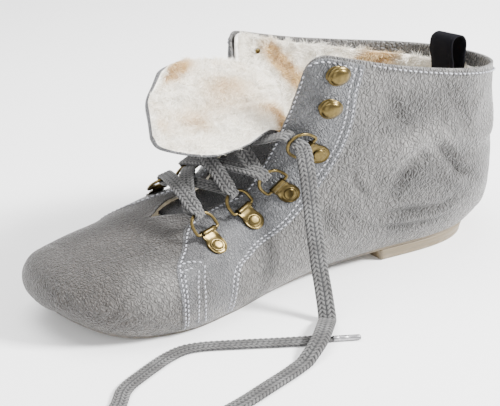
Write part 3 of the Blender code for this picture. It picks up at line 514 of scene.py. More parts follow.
class Graph:
    """Adds nodes to a shader tree and links them by socket."""

    def __init__(self, tree: bpy.types.NodeTree) -> None:
        """Starts on a tree."""
        self.tree = tree
        self.count = 0

    def add(self, kind: str, values: dict | None = None, **settings: object) -> bpy.types.Node:
        """A node with its settings, and its inputs set to numbers or linked to sockets.

        Args:
            kind: the node's type.
            values: a number or a socket for each input.
            settings: the node's own settings.

        Returns:
            The new node.
        """
        node = self.tree.nodes.new(kind)
        node.location = (220 * (self.count % 8) - 900, -260 * (self.count // 8))
        self.count += 1
        for key, value in settings.items():
            setattr(node, key, value)
        for key, value in (values or {}).items():
            if isinstance(value, bpy.types.NodeSocket):
                self.tree.links.new(value, node.inputs[key])
            else:
                node.inputs[key].default_value = value
        return node

    def math(self, operation: str, a: object, b: object = 0.0, clamp: bool = False) -> bpy.types.NodeSocket:
        """The result of one sum on two values."""
        return self.add("ShaderNodeMath", {0: a, 1: b}, operation=operation, use_clamp=clamp).outputs[0]

    def step(self, value: object, low: float, high: float, a: float = 0.0,
             b: float = 1.0) -> bpy.types.NodeSocket:
        """A value moved smoothly from a to b as it goes from low to high.

        Args:
            value: a number or a socket.
            low: where the step starts.
            high: where it ends.
            a: the result at its start.
            b: the result at its end.

        Returns:
            The moved value's socket.
        """
        node = self.add("ShaderNodeMapRange", {"Value": value, "From Min": low, "From Max": high,
                                               "To Min": a, "To Max": b}, interpolation_type='SMOOTHSTEP')
        return node.outputs["Result"]

    def mix(self, factor: object, a: object, b: object) -> bpy.types.NodeSocket:
        """Two colours mixed by a factor."""
        return self.add("ShaderNodeMix", {0: factor, 6: a, 7: b}, data_type='RGBA').outputs[2]

    def attribute(self, name: str) -> bpy.types.NodeSocket:
        """A number kept on the mesh's points."""
        return self.add("ShaderNodeAttribute", attribute_name=name, attribute_type='GEOMETRY').outputs["Fac"]


def group(name: str, inputs: dict[str, float], outputs: Sequence[str],
          fill: Callable[[Graph, dict], dict]) -> bpy.types.NodeTree:
    """A shared effect as a node group, with numbers in and masks or heights out.

    Args:
        name: the group's name.
        inputs: its inputs with what they start at.
        outputs: its outputs.
        fill: makes the nodes between them.

    Returns:
        The group.
    """
    tree = bpy.data.node_groups.new(name, 'ShaderNodeTree')
    for key, value in inputs.items():
        socket = tree.interface.new_socket(name=key, in_out='INPUT', socket_type='NodeSocketFloat')
        socket.default_value = value
    for key in outputs:
        tree.interface.new_socket(name=key, in_out='OUTPUT', socket_type='NodeSocketFloat')
    graph = Graph(tree)
    source = graph.add("NodeGroupInput")
    made = fill(graph, {key: source.outputs[key] for key in inputs})
    graph.add("NodeGroupOutput", made)
    return tree


def grain_nodes(graph: Graph, given: dict) -> dict:
    """Leather's pebbles, drawn out into short wrinkles, with fine pores.

    Args:
        graph: the group's graph.
        given: its inputs' sockets.

    Returns:
        A socket for each output.
    """
    place = graph.add("ShaderNodeTexCoord").outputs["Object"]
    bend = graph.add("ShaderNodeTexNoise", {"Vector": place, "Scale": 95.0, "Detail": 3.0})
    shift = graph.add("ShaderNodeVectorMath", {0: bend.outputs["Color"], 1: (0.5, 0.5, 0.5)},
                      operation='SUBTRACT')
    far = graph.add("ShaderNodeVectorMath", {0: shift.outputs[0], "Scale": given["Bend"]}, operation='SCALE')
    moved = graph.add("ShaderNodeVectorMath", {0: place, 1: far.outputs[0]}, operation='ADD').outputs[0]
    turned = graph.add("ShaderNodeMapping", {"Vector": moved, "Rotation": (0.0, 0.75, 0.0),
                                             "Scale": (1.0, 1.0, 0.55)}).outputs[0]
    cells = graph.add("ShaderNodeTexVoronoi", {"Vector": turned, "Scale": given["Scale"]},
                      feature='DISTANCE_TO_EDGE').outputs["Distance"]
    pebble = graph.step(cells, 0.0, 0.28)
    pores = graph.add("ShaderNodeTexNoise", {"Vector": place, "Scale": 2600.0, "Detail": 2.0}).outputs["Fac"]
    waves = graph.add("ShaderNodeTexNoise", {"Vector": turned, "Scale": 430.0, "Detail": 4.0,
                                             "Roughness": 0.62}).outputs["Fac"]
    height = graph.math('ADD', graph.math('MULTIPLY', pebble, 0.50), graph.math('MULTIPLY', waves, 1.10))
    height = graph.math('ADD', height, graph.math('MULTIPLY', pores, 0.22))
    folds = graph.step(waves, 0.50, 0.40)
    gap = graph.math('MAXIMUM', graph.math('MULTIPLY', graph.math('SUBTRACT', 1.0, pebble), 0.75), folds)
    return {"Height": height, "Gap": gap}


def wear_nodes(graph: Graph, given: dict) -> dict:
    """Where edges are rubbed, broken up by noise, with a mask of hollows for painted shade.

    Args:
        graph: the group's graph.
        given: its inputs' sockets.

    Returns:
        A socket for each output.
    """
    point = graph.add("ShaderNodeNewGeometry").outputs["Pointiness"]
    place = graph.add("ShaderNodeTexCoord").outputs["Object"]
    spots = graph.add("ShaderNodeTexNoise", {"Vector": place, "Scale": given["Spots"], "Detail": 4.0})
    edge = graph.step(point, 0.50, 0.58)
    # Hollows by pointiness: a mask for painted shade.
    hollow_shade = graph.step(point, 0.50, 0.42)
    rubbed = graph.math('MULTIPLY', edge, graph.step(spots.outputs["Fac"], 0.30, 0.65), True)
    return {"Edge": rubbed, "Hollow": hollow_shade, "Spots": spots.outputs["Fac"]}


def dust_nodes(graph: Graph, given: dict) -> dict:
    """Dust and scuffing that fades out above the floor.

    Args:
        graph: the group's graph.
        given: its inputs' sockets.

    Returns:
        A socket for each output.
    """
    place = graph.add("ShaderNodeTexCoord").outputs["Object"]
    height = graph.add("ShaderNodeSeparateXYZ", {0: place}).outputs["Z"]
    spots = graph.add("ShaderNodeTexNoise", {"Vector": place, "Scale": 260.0, "Detail": 5.0}).outputs["Fac"]
    low = graph.math('LESS_THAN', height, given["Top"])
    fade = graph.math('SUBTRACT', 1.0, graph.math('DIVIDE', height, given["Top"]), True)
    return {"Mask": graph.math('MULTIPLY', graph.math('MULTIPLY', fade, low),
                               graph.step(spots, 0.35, 0.70), True)}


def weave_nodes(graph: Graph, given: dict) -> dict:
    """Ribs of a woven ribbon, across and along it.

    Args:
        graph: the group's graph.
        given: its inputs' sockets.

    Returns:
        A socket for each output.
    """
    place = graph.add("ShaderNodeSeparateXYZ", {0: graph.add("ShaderNodeTexCoord").outputs["Object"]})
    across = graph.math('SINE', graph.math('MULTIPLY', place.outputs["Y"], given["Scale"]))
    along = graph.math('SINE', graph.math('MULTIPLY', place.outputs["Z"], given["Scale"]))
    both = graph.math('MULTIPLY', across, along)
    return {"Height": graph.math('ADD', 0.5, graph.math('MULTIPLY', both, 0.5))}


GRAIN = group("leather_grain", {"Scale": 560.0, "Bend": 0.004}, ("Height", "Gap"), grain_nodes)
WEAR = group("edge_wear", {"Spots": 300.0}, ("Edge", "Hollow", "Spots"), wear_nodes)
DUST = group("floor_dust", {"Top": 0.02}, ("Mask",), dust_nodes)
WEAVE = group("ribbon_weave", {"Scale": 5200.0}, ("Height",), weave_nodes)


@dataclass(frozen=True)
class Finish:
    """A material's colours and numbers; in the fleece, the metals, the lace and the thread the dark colour
    also serves as painted shade.
    """

    name: str
    dark: tuple[float, float, float]
    light: tuple[float, float, float]
    accent: tuple[float, float, float]
    roughness: float
    bump: float
    scale: float = 560.0
    coat: float = 0.0


class Finishes(Enum):
    """Every finish on the boot."""

    HIDE = Finish("hide", (0.008, 0.007, 0.006), (0.25, 0.242, 0.23), (0.045, 0.031, 0.022), 0.50, 0.0022,
                  600.0, 0.10)
    FACING = Finish("facing", (0.010, 0.011, 0.013), (0.185, 0.188, 0.198), (0.060, 0.046, 0.036), 0.45,
                    0.0012, 760.0, 0.14)
    # The fleece's dark brown serves its brown stains and the painted shadow in the throat.
    FLEECE = Finish("fleece", (0.30, 0.15, 0.06), (0.97, 0.93, 0.84), (0.62, 0.42, 0.18), 1.0, 0.0008)
    # The brass's and the tip's dark colour is painted shade in their hollows.
    BRASS = Finish("old_brass", (0.008, 0.006, 0.003), (0.125, 0.092, 0.036), (0.055, 0.040, 0.016), 0.30,
                   0.000001)
    # The lace's and the thread's dark colour is painted shade between plaits and at stitch ends.
    LACE = Finish("lace_yarn", (0.005, 0.005, 0.006), (0.145, 0.143, 0.14), (0.078, 0.075, 0.072), 0.85,
                  0.0001)
    THREAD = Finish("thread", (0.05, 0.05, 0.06), (0.52, 0.53, 0.58), (0.38, 0.38, 0.42), 0.7, 0.0001)
    HEEL = Finish("heel_stock", (0.06, 0.045, 0.025), (0.155, 0.118, 0.068), (0.045, 0.042, 0.040), 0.5,
                  0.0001)
    RIBBON = Finish("ribbon", (0.0006, 0.0006, 0.001), (0.003, 0.003, 0.006), (0.002, 0.002, 0.004), 0.9,
                    0.00005)
    TIP = Finish("tip_metal", (0.12, 0.12, 0.125), (0.55, 0.55, 0.57), (0.30, 0.29, 0.28), 0.35, 0.000003)

LEATHER_DUST = (0.36, 0.33, 0.29)
STOCK_DUST = (0.22, 0.19, 0.15)
STOCK_RUBBED = (0.22, 0.17, 0.105)


def colour(value: tuple[float, float, float]) -> tuple[float, float, float, float]:
    """A colour with its alpha."""
    return (*value, 1.0)


def start(finish: Finish) -> tuple[bpy.types.Material, Graph, bpy.types.Node]:
    """A new material with its graph and its Principled shader.

    Args:
        finish: its colours and numbers.

    Returns:
        The material, its graph and its shader.
    """
    made = bpy.data.materials.new(finish.name)
    made.use_nodes = True
    shader = made.node_tree.nodes["Principled BSDF"]
    shader.inputs["Roughness"].default_value = finish.roughness
    return made, Graph(made.node_tree), shader


def bump(graph: Graph, shader: bpy.types.Node, height: object, distance: float) -> None:
    """A bump of a real height on the shader.

    Args:
        graph: the material's graph.
        shader: its Principled shader.
        height: heights from 0 to 1.
        distance: what a height of 1 is in metres.
    """
    node = graph.add("ShaderNodeBump", {"Height": height, "Distance": distance, "Strength": 1.0})
    graph.tree.links.new(node.outputs["Normal"], shader.inputs["Normal"])


def hide_material(finish: Finish) -> bpy.types.Material:
    """Grained leather whose tone follows the shade and warmth on its points, with their painted shade and
    highlights.

    Args:
        finish: its colours and numbers.

    Returns:
        The material.
    """
    made, graph, shader = start(finish)
    grain = graph.add("ShaderNodeGroup", node_tree=GRAIN)
    grain.inputs["Scale"].default_value = finish.scale
    wear = graph.add("ShaderNodeGroup", node_tree=WEAR)
    dust = graph.add("ShaderNodeGroup", node_tree=DUST)
    # The shade mark holds painted shade in creases and stitch grooves, and painted highlights on ridges.
    base = graph.mix(graph.attribute("shade"), colour(finish.dark), colour(finish.light))
    warm = graph.mix(graph.math('MULTIPLY', graph.attribute("warm"), 0.62), base, colour(finish.accent))
    gaps = graph.mix(graph.math('MULTIPLY', grain.outputs["Gap"], 0.60), warm, colour(finish.dark))
    place = graph.add("ShaderNodeTexCoord").outputs["Object"]
    nap = graph.add("ShaderNodeTexNoise", {"Vector": place, "Scale": 1500.0, "Detail": 3.0}).outputs["Fac"]
    fibres = graph.math('MULTIPLY', graph.step(nap, 0.48, 0.72), 0.22)
    nap_light = graph.mix(fibres, gaps, colour(finish.light))
    rubbed = graph.mix(graph.math('MULTIPLY', wear.outputs["Edge"], 0.45), nap_light, colour(finish.light))
    dirty = graph.mix(graph.math('MULTIPLY', dust.outputs["Mask"], 0.45), rubbed, colour(LEATHER_DUST))
    graph.tree.links.new(dirty, shader.inputs["Base Color"])
    rough = graph.step(nap, 0.3, 0.7, finish.roughness - 0.10, finish.roughness + 0.12)
    graph.tree.links.new(rough, shader.inputs["Roughness"])
    shader.inputs["Coat Weight"].default_value = finish.coat
    shader.inputs["Coat Roughness"].default_value = 0.45
    shader.inputs["Sheen Weight"].default_value = 0.15
    bump(graph, shader, grain.outputs["Height"], finish.bump)
    return made


def fleece_material(finish: Finish) -> bpy.types.Material:
    """Cream pile with tan stains, and brown painted shadow in the throat, where the points say so.

    Args:
        finish: its colours and numbers.

    Returns:
        The material.
    """
    made, graph, shader = start(finish)
    place = graph.add("ShaderNodeTexCoord").outputs["Object"]
    tufts = graph.add("ShaderNodeTexNoise", {"Vector": place, "Scale": 420.0, "Detail": 5.0,
                                             "Roughness": 0.7})
    slow = graph.add("ShaderNodeTexNoise", {"Vector": place, "Scale": 60.0, "Detail": 3.0}).outputs["Fac"]
    stain_and_shadow = graph.attribute("stain_and_shadow")
    tan = graph.mix(graph.step(stain_and_shadow, 0.0, 0.5), colour(finish.light), colour(finish.accent))
    # Brown: the brown stains and the painted shadow in the throat.
    brown = graph.mix(graph.step(stain_and_shadow, 0.55, 1.1), tan, colour(finish.dark))
    faint = graph.mix(graph.step(slow, 0.52, 0.78, 0.0, 0.22), brown, colour(finish.accent))
    deep = graph.mix(graph.step(tufts.outputs["Fac"], 0.50, 0.30, 0.0, 0.10), faint, colour(finish.accent))
    graph.tree.links.new(deep, shader.inputs["Base Color"])
    shader.inputs["Sheen Weight"].default_value = 0.6
    shader.inputs["Sheen Roughness"].default_value = 0.5
    bump(graph, shader, tufts.outputs["Fac"], finish.bump)
    return made


def brass_material(finish: Finish) -> bpy.types.Material:
    """Old metal with painted shade in its hollows, bright on its rubbed edges.

    Args:
        finish: its colours and numbers.

    Returns:
        The material.
    """
    made, graph, shader = start(finish)
    wear = graph.add("ShaderNodeGroup", node_tree=WEAR)
    wear.inputs["Spots"].default_value = 700.0
    patina = graph.mix(graph.step(wear.outputs["Spots"], 0.25, 0.75, 0.35, 0.85), colour(finish.accent),
                       colour(finish.light))
    # Painted shade: the hollows are darkened towards the dark colour.
    hollow_shade = graph.mix(graph.math('MULTIPLY', wear.outputs["Hollow"], 0.9, True), patina, colour(finish.dark))
    bright = graph.mix(graph.math('MULTIPLY', wear.outputs["Edge"], 0.8), hollow_shade, colour(finish.light))
    graph.tree.links.new(bright, shader.inputs["Base Color"])
    rough = graph.step(wear.outputs["Spots"], 0.3, 0.7, finish.roughness + 0.06, finish.roughness - 0.02)
    graph.tree.links.new(rough, shader.inputs["Roughness"])
    shader.inputs["Metallic"].default_value = 1.0
    return made


def yarn_material(finish: Finish) -> bpy.types.Material:
    """Plaited yarn with painted shade between the plaits and at the stitches' sunk ends, and fine fibres.

    Args:
        finish: its colours and numbers.

    Returns:
        The material.
    """
    made, graph, shader = start(finish)
    place = graph.add("ShaderNodeTexCoord").outputs["Object"]
    fibre = graph.add("ShaderNodeTexNoise", {"Vector": place, "Scale": 3200.0, "Detail": 3.0}).outputs["Fac"]
    slow = graph.add("ShaderNodeTexNoise", {"Vector": place, "Scale": 90.0, "Detail": 2.0}).outputs["Fac"]
    yarn = graph.mix(graph.step(slow, 0.35, 0.70), colour(finish.accent), colour(finish.light))
    # Painted shade: dark where the plait mark is low, between the lace's plaits and at the stitches' ends.
    plait = graph.mix(graph.step(graph.attribute("plait"), 0.12, 0.85), colour(finish.dark), yarn)
    fuzz = graph.mix(graph.step(fibre, 0.35, 0.70, 0.35, 0.0), plait, colour(finish.dark))
    graph.tree.links.new(fuzz, shader.inputs["Base Color"])
    shader.inputs["Sheen Weight"].default_value = 0.25
    bump(graph, shader, fibre, finish.bump)
    return made


def stock_material(finish: Finish) -> bpy.types.Material:
    """Pressed sole stock: tan at the heel, dark under the forefoot, dusty at the floor.

    Args:
        finish: its colours and numbers.

    Returns:
        The material.
    """
    made, graph, shader = start(finish)
    place = graph.add("ShaderNodeTexCoord").outputs["Object"]
    along = graph.add("ShaderNodeSeparateXYZ", {0: place}).outputs["X"]
    wear = graph.add("ShaderNodeGroup", node_tree=WEAR)
    dust = graph.add("ShaderNodeGroup", node_tree=DUST)
    dust.inputs["Top"].default_value = 0.004
    layers = graph.add("ShaderNodeMapping", {"Vector": place, "Scale": (30.0, 30.0, 1400.0)}).outputs[0]
    streak = graph.add("ShaderNodeTexNoise", {"Vector": layers, "Scale": 1.0, "Detail": 4.0}).outputs["Fac"]
    tan = graph.mix(graph.step(streak, 0.30, 0.75), colour(finish.dark), colour(finish.light))
    tan = graph.mix(0.55, tan, colour(finish.light))
    grey = graph.mix(graph.step(along, -0.055, -0.035), colour(finish.accent), tan)
    rubbed = graph.mix(graph.math('MULTIPLY', wear.outputs["Edge"], 0.5), grey, colour(STOCK_RUBBED))
    dirty = graph.mix(graph.math('MULTIPLY', dust.outputs["Mask"], 0.6), rubbed, colour(STOCK_DUST))
    graph.tree.links.new(dirty, shader.inputs["Base Color"])
    bump(graph, shader, streak, finish.bump)
    return made


def ribbon_material(finish: Finish) -> bpy.types.Material:
    """Black ribbon with a fine weave.

    Args:
        finish: its colours and numbers.

    Returns:
        The material.
    """
    made, graph, shader = start(finish)
    weave = graph.add("ShaderNodeGroup", node_tree=WEAVE)
    thread = graph.mix(weave.outputs["Height"], colour(finish.dark), colour(finish.light))
    graph.tree.links.new(thread, shader.inputs["Base Color"])
    shader.inputs["Specular IOR Level"].default_value = 0.15
    bump(graph, shader, weave.outputs["Height"], finish.bump)
    return made


MATERIALS = {
    Finishes.HIDE: hide_material(Finishes.HIDE.value),
    Finishes.FACING: hide_material(Finishes.FACING.value),
    Finishes.FLEECE: fleece_material(Finishes.FLEECE.value),
    Finishes.BRASS: brass_material(Finishes.BRASS.value),
    Finishes.LACE: yarn_material(Finishes.LACE.value),
    Finishes.THREAD: yarn_material(Finishes.THREAD.value),
    Finishes.HEEL: stock_material(Finishes.HEEL.value),
    Finishes.RIBBON: ribbon_material(Finishes.RIBBON.value),
    Finishes.TIP: brass_material(Finishes.TIP.value),
}


def faces_of(rows: int, columns: int, closed: bool = False, first: int = 0, flip: bool = False) -> list:
    """Quads of a grid whose points run along the columns first, closed round the columns if asked.

    Args:
        rows: how many rows of points.
        columns: how many points in a row.
        closed: joins the last column to the first.
        first: the grid's first point number.
        flip: turns the quads over.

    Returns:
        Rings of four point numbers.
    """
    i, j = np.meshgrid(np.arange(rows - 1), np.arange(columns if closed else columns - 1), indexing="ij")
    a = first + i * columns + j
    b = first + i * columns + (j + 1) % columns
    quads = np.stack([a, b, b + columns, a + columns], -1).reshape(-1, 4)
    return (quads[:, ::-1] if flip else quads).tolist()


def piece(name: str, points: np.ndarray, faces: list, finish: Finishes,
          stands_for: Sequence[str] = (), marks: dict[str, np.ndarray] | None = None,
          weld: bool = False) -> bpy.types.Object:
    """A piece of the boot that rides on its one body.

    Args:
        name: the piece's name.
        points: its places in metres.
        faces: rings of point numbers.
        finish: the finish it is given.
        stands_for: CAD nodes that it replaces.
        marks: numbers for each point that its finish reads.
        weld: joins points that lie on each other.

    Returns:
        The new object.
    """
    mesh = bpy.data.meshes.new(name)
    mesh.from_pydata(np.asarray(points, float).tolist(), [], faces)
    for key, values in (marks or {}).items():
        layer = mesh.attributes.new(key, 'FLOAT', 'POINT')
        layer.data.foreach_set("value", np.asarray(values, np.float32))
    mesh.polygons.foreach_set("use_smooth", [True] * len(mesh.polygons))
    mesh.materials.append(MATERIALS[finish])
    made = bpy.data.objects.new(name, mesh)
    bpy.context.scene.collection.objects.link(made)
    if weld:
        join = made.modifiers.new("weld", 'WELD')
        join.merge_threshold = 2e-6
    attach(made, "root")
    if stands_for:
        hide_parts(*stands_for)
    LOG.info("%s made, %d points", name, len(mesh.vertices))
    return made


def closed_sheet(outer: np.ndarray, inner: np.ndarray) -> tuple[np.ndarray, list]:
    """Points and faces of a closed sheet between two grids of the same shape, rimmed all round.

    Args:
        outer: the grid on the outer face.
        inner: the grid on the inner face.

    Returns:
        The points, and rings of point numbers.
    """
    rows, columns = outer.shape[:2]
    count = rows * columns
    faces = faces_of(rows, columns) + faces_of(rows, columns, first=count, flip=True)
    rim = list(range(columns))
    rim += [i * columns + columns - 1 for i in range(1, rows)]
    rim += [(rows - 1) * columns + j for j in range(columns - 2, -1, -1)]
    rim += [i * columns for i in range(rows - 2, 0, -1)]
    for a, b in zip(rim, rim[1:] + rim[:1]):
        faces.append([b, a, a + count, b + count])
    return np.concatenate([outer.reshape(-1, 3), inner.reshape(-1, 3)]), faces


def tube(rings: np.ndarray, closed: bool = False) -> tuple[np.ndarray, list]:
    """Points and faces of a tube through rings, capped unless it closes on itself.

    Args:
        rings: points ring by ring.
        closed: joins the last ring to the first.

    Returns:
        The points, and rings of point numbers.
    """
    count, size = rings.shape[:2]
    faces = faces_of(count, size, True)
    if closed:
        last = (count - 1) * size
        faces += [[last + j, last + (j + 1) % size, (j + 1) % size, j] for j in range(size)]
    else:
        faces.append(list(range(size))[::-1])
        faces.append([(count - 1) * size + j for j in range(size)])
    return rings.reshape(-1, 3), faces


def merge(parts: Sequence[tuple[np.ndarray, list]]) -> tuple[np.ndarray, list]:
    """Several points-and-faces pairs as one.

    Args:
        parts: pairs of points and faces.

    Returns:
        The points, and rings of point numbers.
    """
    points, faces, first = [], [], 0
    for places, rings in parts:
        points.append(places)
        faces += [[first + i for i in ring] for ring in rings]
        first += len(places)
    return np.concatenate(points), faces


@dataclass(frozen=True)
class Mount:
    """Where a metal piece stands on a panel."""

    side: Side
    row: float
    share: float
    twist: float = 0.0

    def axes(self) -> tuple[np.ndarray, ...]:
        """Origin, outward, towards the throat, and along.

        Returns:
            A point and three unit vectors.
        """
        points, out, up, along = (v[0] for v in LAST.frames(self.side, self.row, self.share))
        angle = math.radians(self.twist) * self.side
        turned = up * math.cos(angle) + along * math.sin(angle)
        rest = along * math.cos(angle) - up * math.sin(angle)
        return points + out * (PANEL_SEAT + PANEL_WALL), out, turned, rest

    def place(self, up: np.ndarray, along: np.ndarray, out: np.ndarray) -> np.ndarray:
        """Points given along the mount's axes.

        Args:
            up: metres towards the throat.
            along: metres along the shoe.
            out: metres outward.

        Returns:
            The points in the shoe's frame.
        """
        origin, n, u, v = self.axes()
        up, along, out = np.broadcast_arrays(*(np.asarray(value, float) for value in (up, along, out)))
        return origin + up[..., None] * u + along[..., None] * v + out[..., None] * n

    def ground(self, up: np.ndarray, along: np.ndarray) -> np.ndarray:
        """Lift of the curved panel itself at places round the mount.

        Args:
            up: metres towards the throat.
            along: metres along the shoe.

        Returns:
            Metres outward from the mount's flat at each place.
        """
        origin, n, u, v = self.axes()
        d = 0.02
        here = LAST.wall(self.side, self.row, self.share)[0]
        by_row = (LAST.wall(self.side, self.row + d, self.share)[0] - here) / d
        by_share = (LAST.wall(self.side, self.row, self.share + d)[0] - here) / d
        grid = np.array([[by_row @ u, by_share @ u], [by_row @ v, by_share @ v]])
        steps = np.linalg.solve(grid, np.stack([np.ravel(up), np.ravel(along)]))
        points, out, _, _ = LAST.frames(self.side, self.row + steps[0], np.clip(self.share + steps[1], 0, 1))
        return ((points + out * (PANEL_SEAT + PANEL_WALL) - origin) @ n).reshape(np.shape(up))


class Braid:
    """A flat braided lace: a flattened tube whose two faces carry columns of slanted plaits."""

    COLUMNS = 4
    PITCH = 0.0025
    ROUND = 56

    def __init__(self, centre: np.ndarray, width: np.ndarray, half: np.ndarray, thick: float) -> None:
        """Braids along a line.

        Args:
            centre: the lace's centre line.
            width: its width's directions there.
            half: half its width there.
            thick: its thickness.
        """
        run = np.concatenate([[0], np.cumsum(np.linalg.norm(np.diff(centre, axis=0), axis=1))])
        count = max(int(run[-1] / 0.0005), 8)
        even = np.linspace(0, run[-1], count)
        spot = np.interp(even, run, np.arange(len(run)))
        self.centre = catmull(centre, spot)
        self.half = np.interp(even, run, half)
        tangent = unit(np.gradient(self.centre, axis=0))
        across = catmull(width, spot)
        across = unit(across - tangent * (across * tangent).sum(1)[:, None])
        self.rings, self.plait = self.skin(even, across, np.cross(tangent, across), thick)

    def skin(self, run: np.ndarray, across: np.ndarray, face: np.ndarray, thick: float) -> tuple:
        """Rings of the braided surface, and how high each point stands on its plait.

        Args:
            run: how far along the lace each ring stands.
            across: its width's directions.
            face: its faces' directions.
            thick: its thickness.

        Returns:
            The rings, and each point's height on its plait from 0 to 1.
        """
        turn = np.arange(self.ROUND) / self.ROUND * math.tau
        x = np.sign(np.cos(turn)) * np.abs(np.cos(turn)) ** 0.75
        z = np.sign(np.sin(turn)) * np.abs(np.sin(turn)) ** 0.62
        place = (x + 1) / 2 * self.COLUMNS
        column = np.minimum(np.floor(place), self.COLUMNS - 1)
        inside = place - column
        lean = (inside - 0.5) * np.where(column % 2 == 0, 1.0, -1.0) * 1.1
        phase = run[:, None] / self.PITCH + lean[None] + 0.5 * (z[None] < 0)
        ridge = 1 - np.abs(2 * (phase % 1) - 1) ** 2.0
        rim = 1 - np.abs(2 * inside - 1) ** 3 * 0.75
        plait = ridge * rim[None]
        lift = (plait - 0.6) * 0.00075
        half = self.half[:, None]
        wide = x[None] * (half + lift * 0.3 * np.abs(x)[None])
        high = z[None] * thick / 2 + np.sign(z)[None] * lift * np.minimum(1, np.abs(z) * 1.6)[None]
        rings = self.centre[:, None] + across[:, None] * wide[..., None] + face[:, None] * high[..., None]
        return rings, plait


def bow(side: Side, index: int) -> tuple[np.ndarray, Mount]:
    """Centre of a ring's bow, and its mount.

    Args:
        side: the ring's side.
        index: its number from 0.

    Returns:
        The centre and the mount.
    """
    row, share, twist = RINGS[side][index]
    mount = Mount(side, row, share, twist)
    return mount.place(CLIP_REACH + RING_DEPTH - RING_WIRE, 0.0, BOW_LIFT), mount


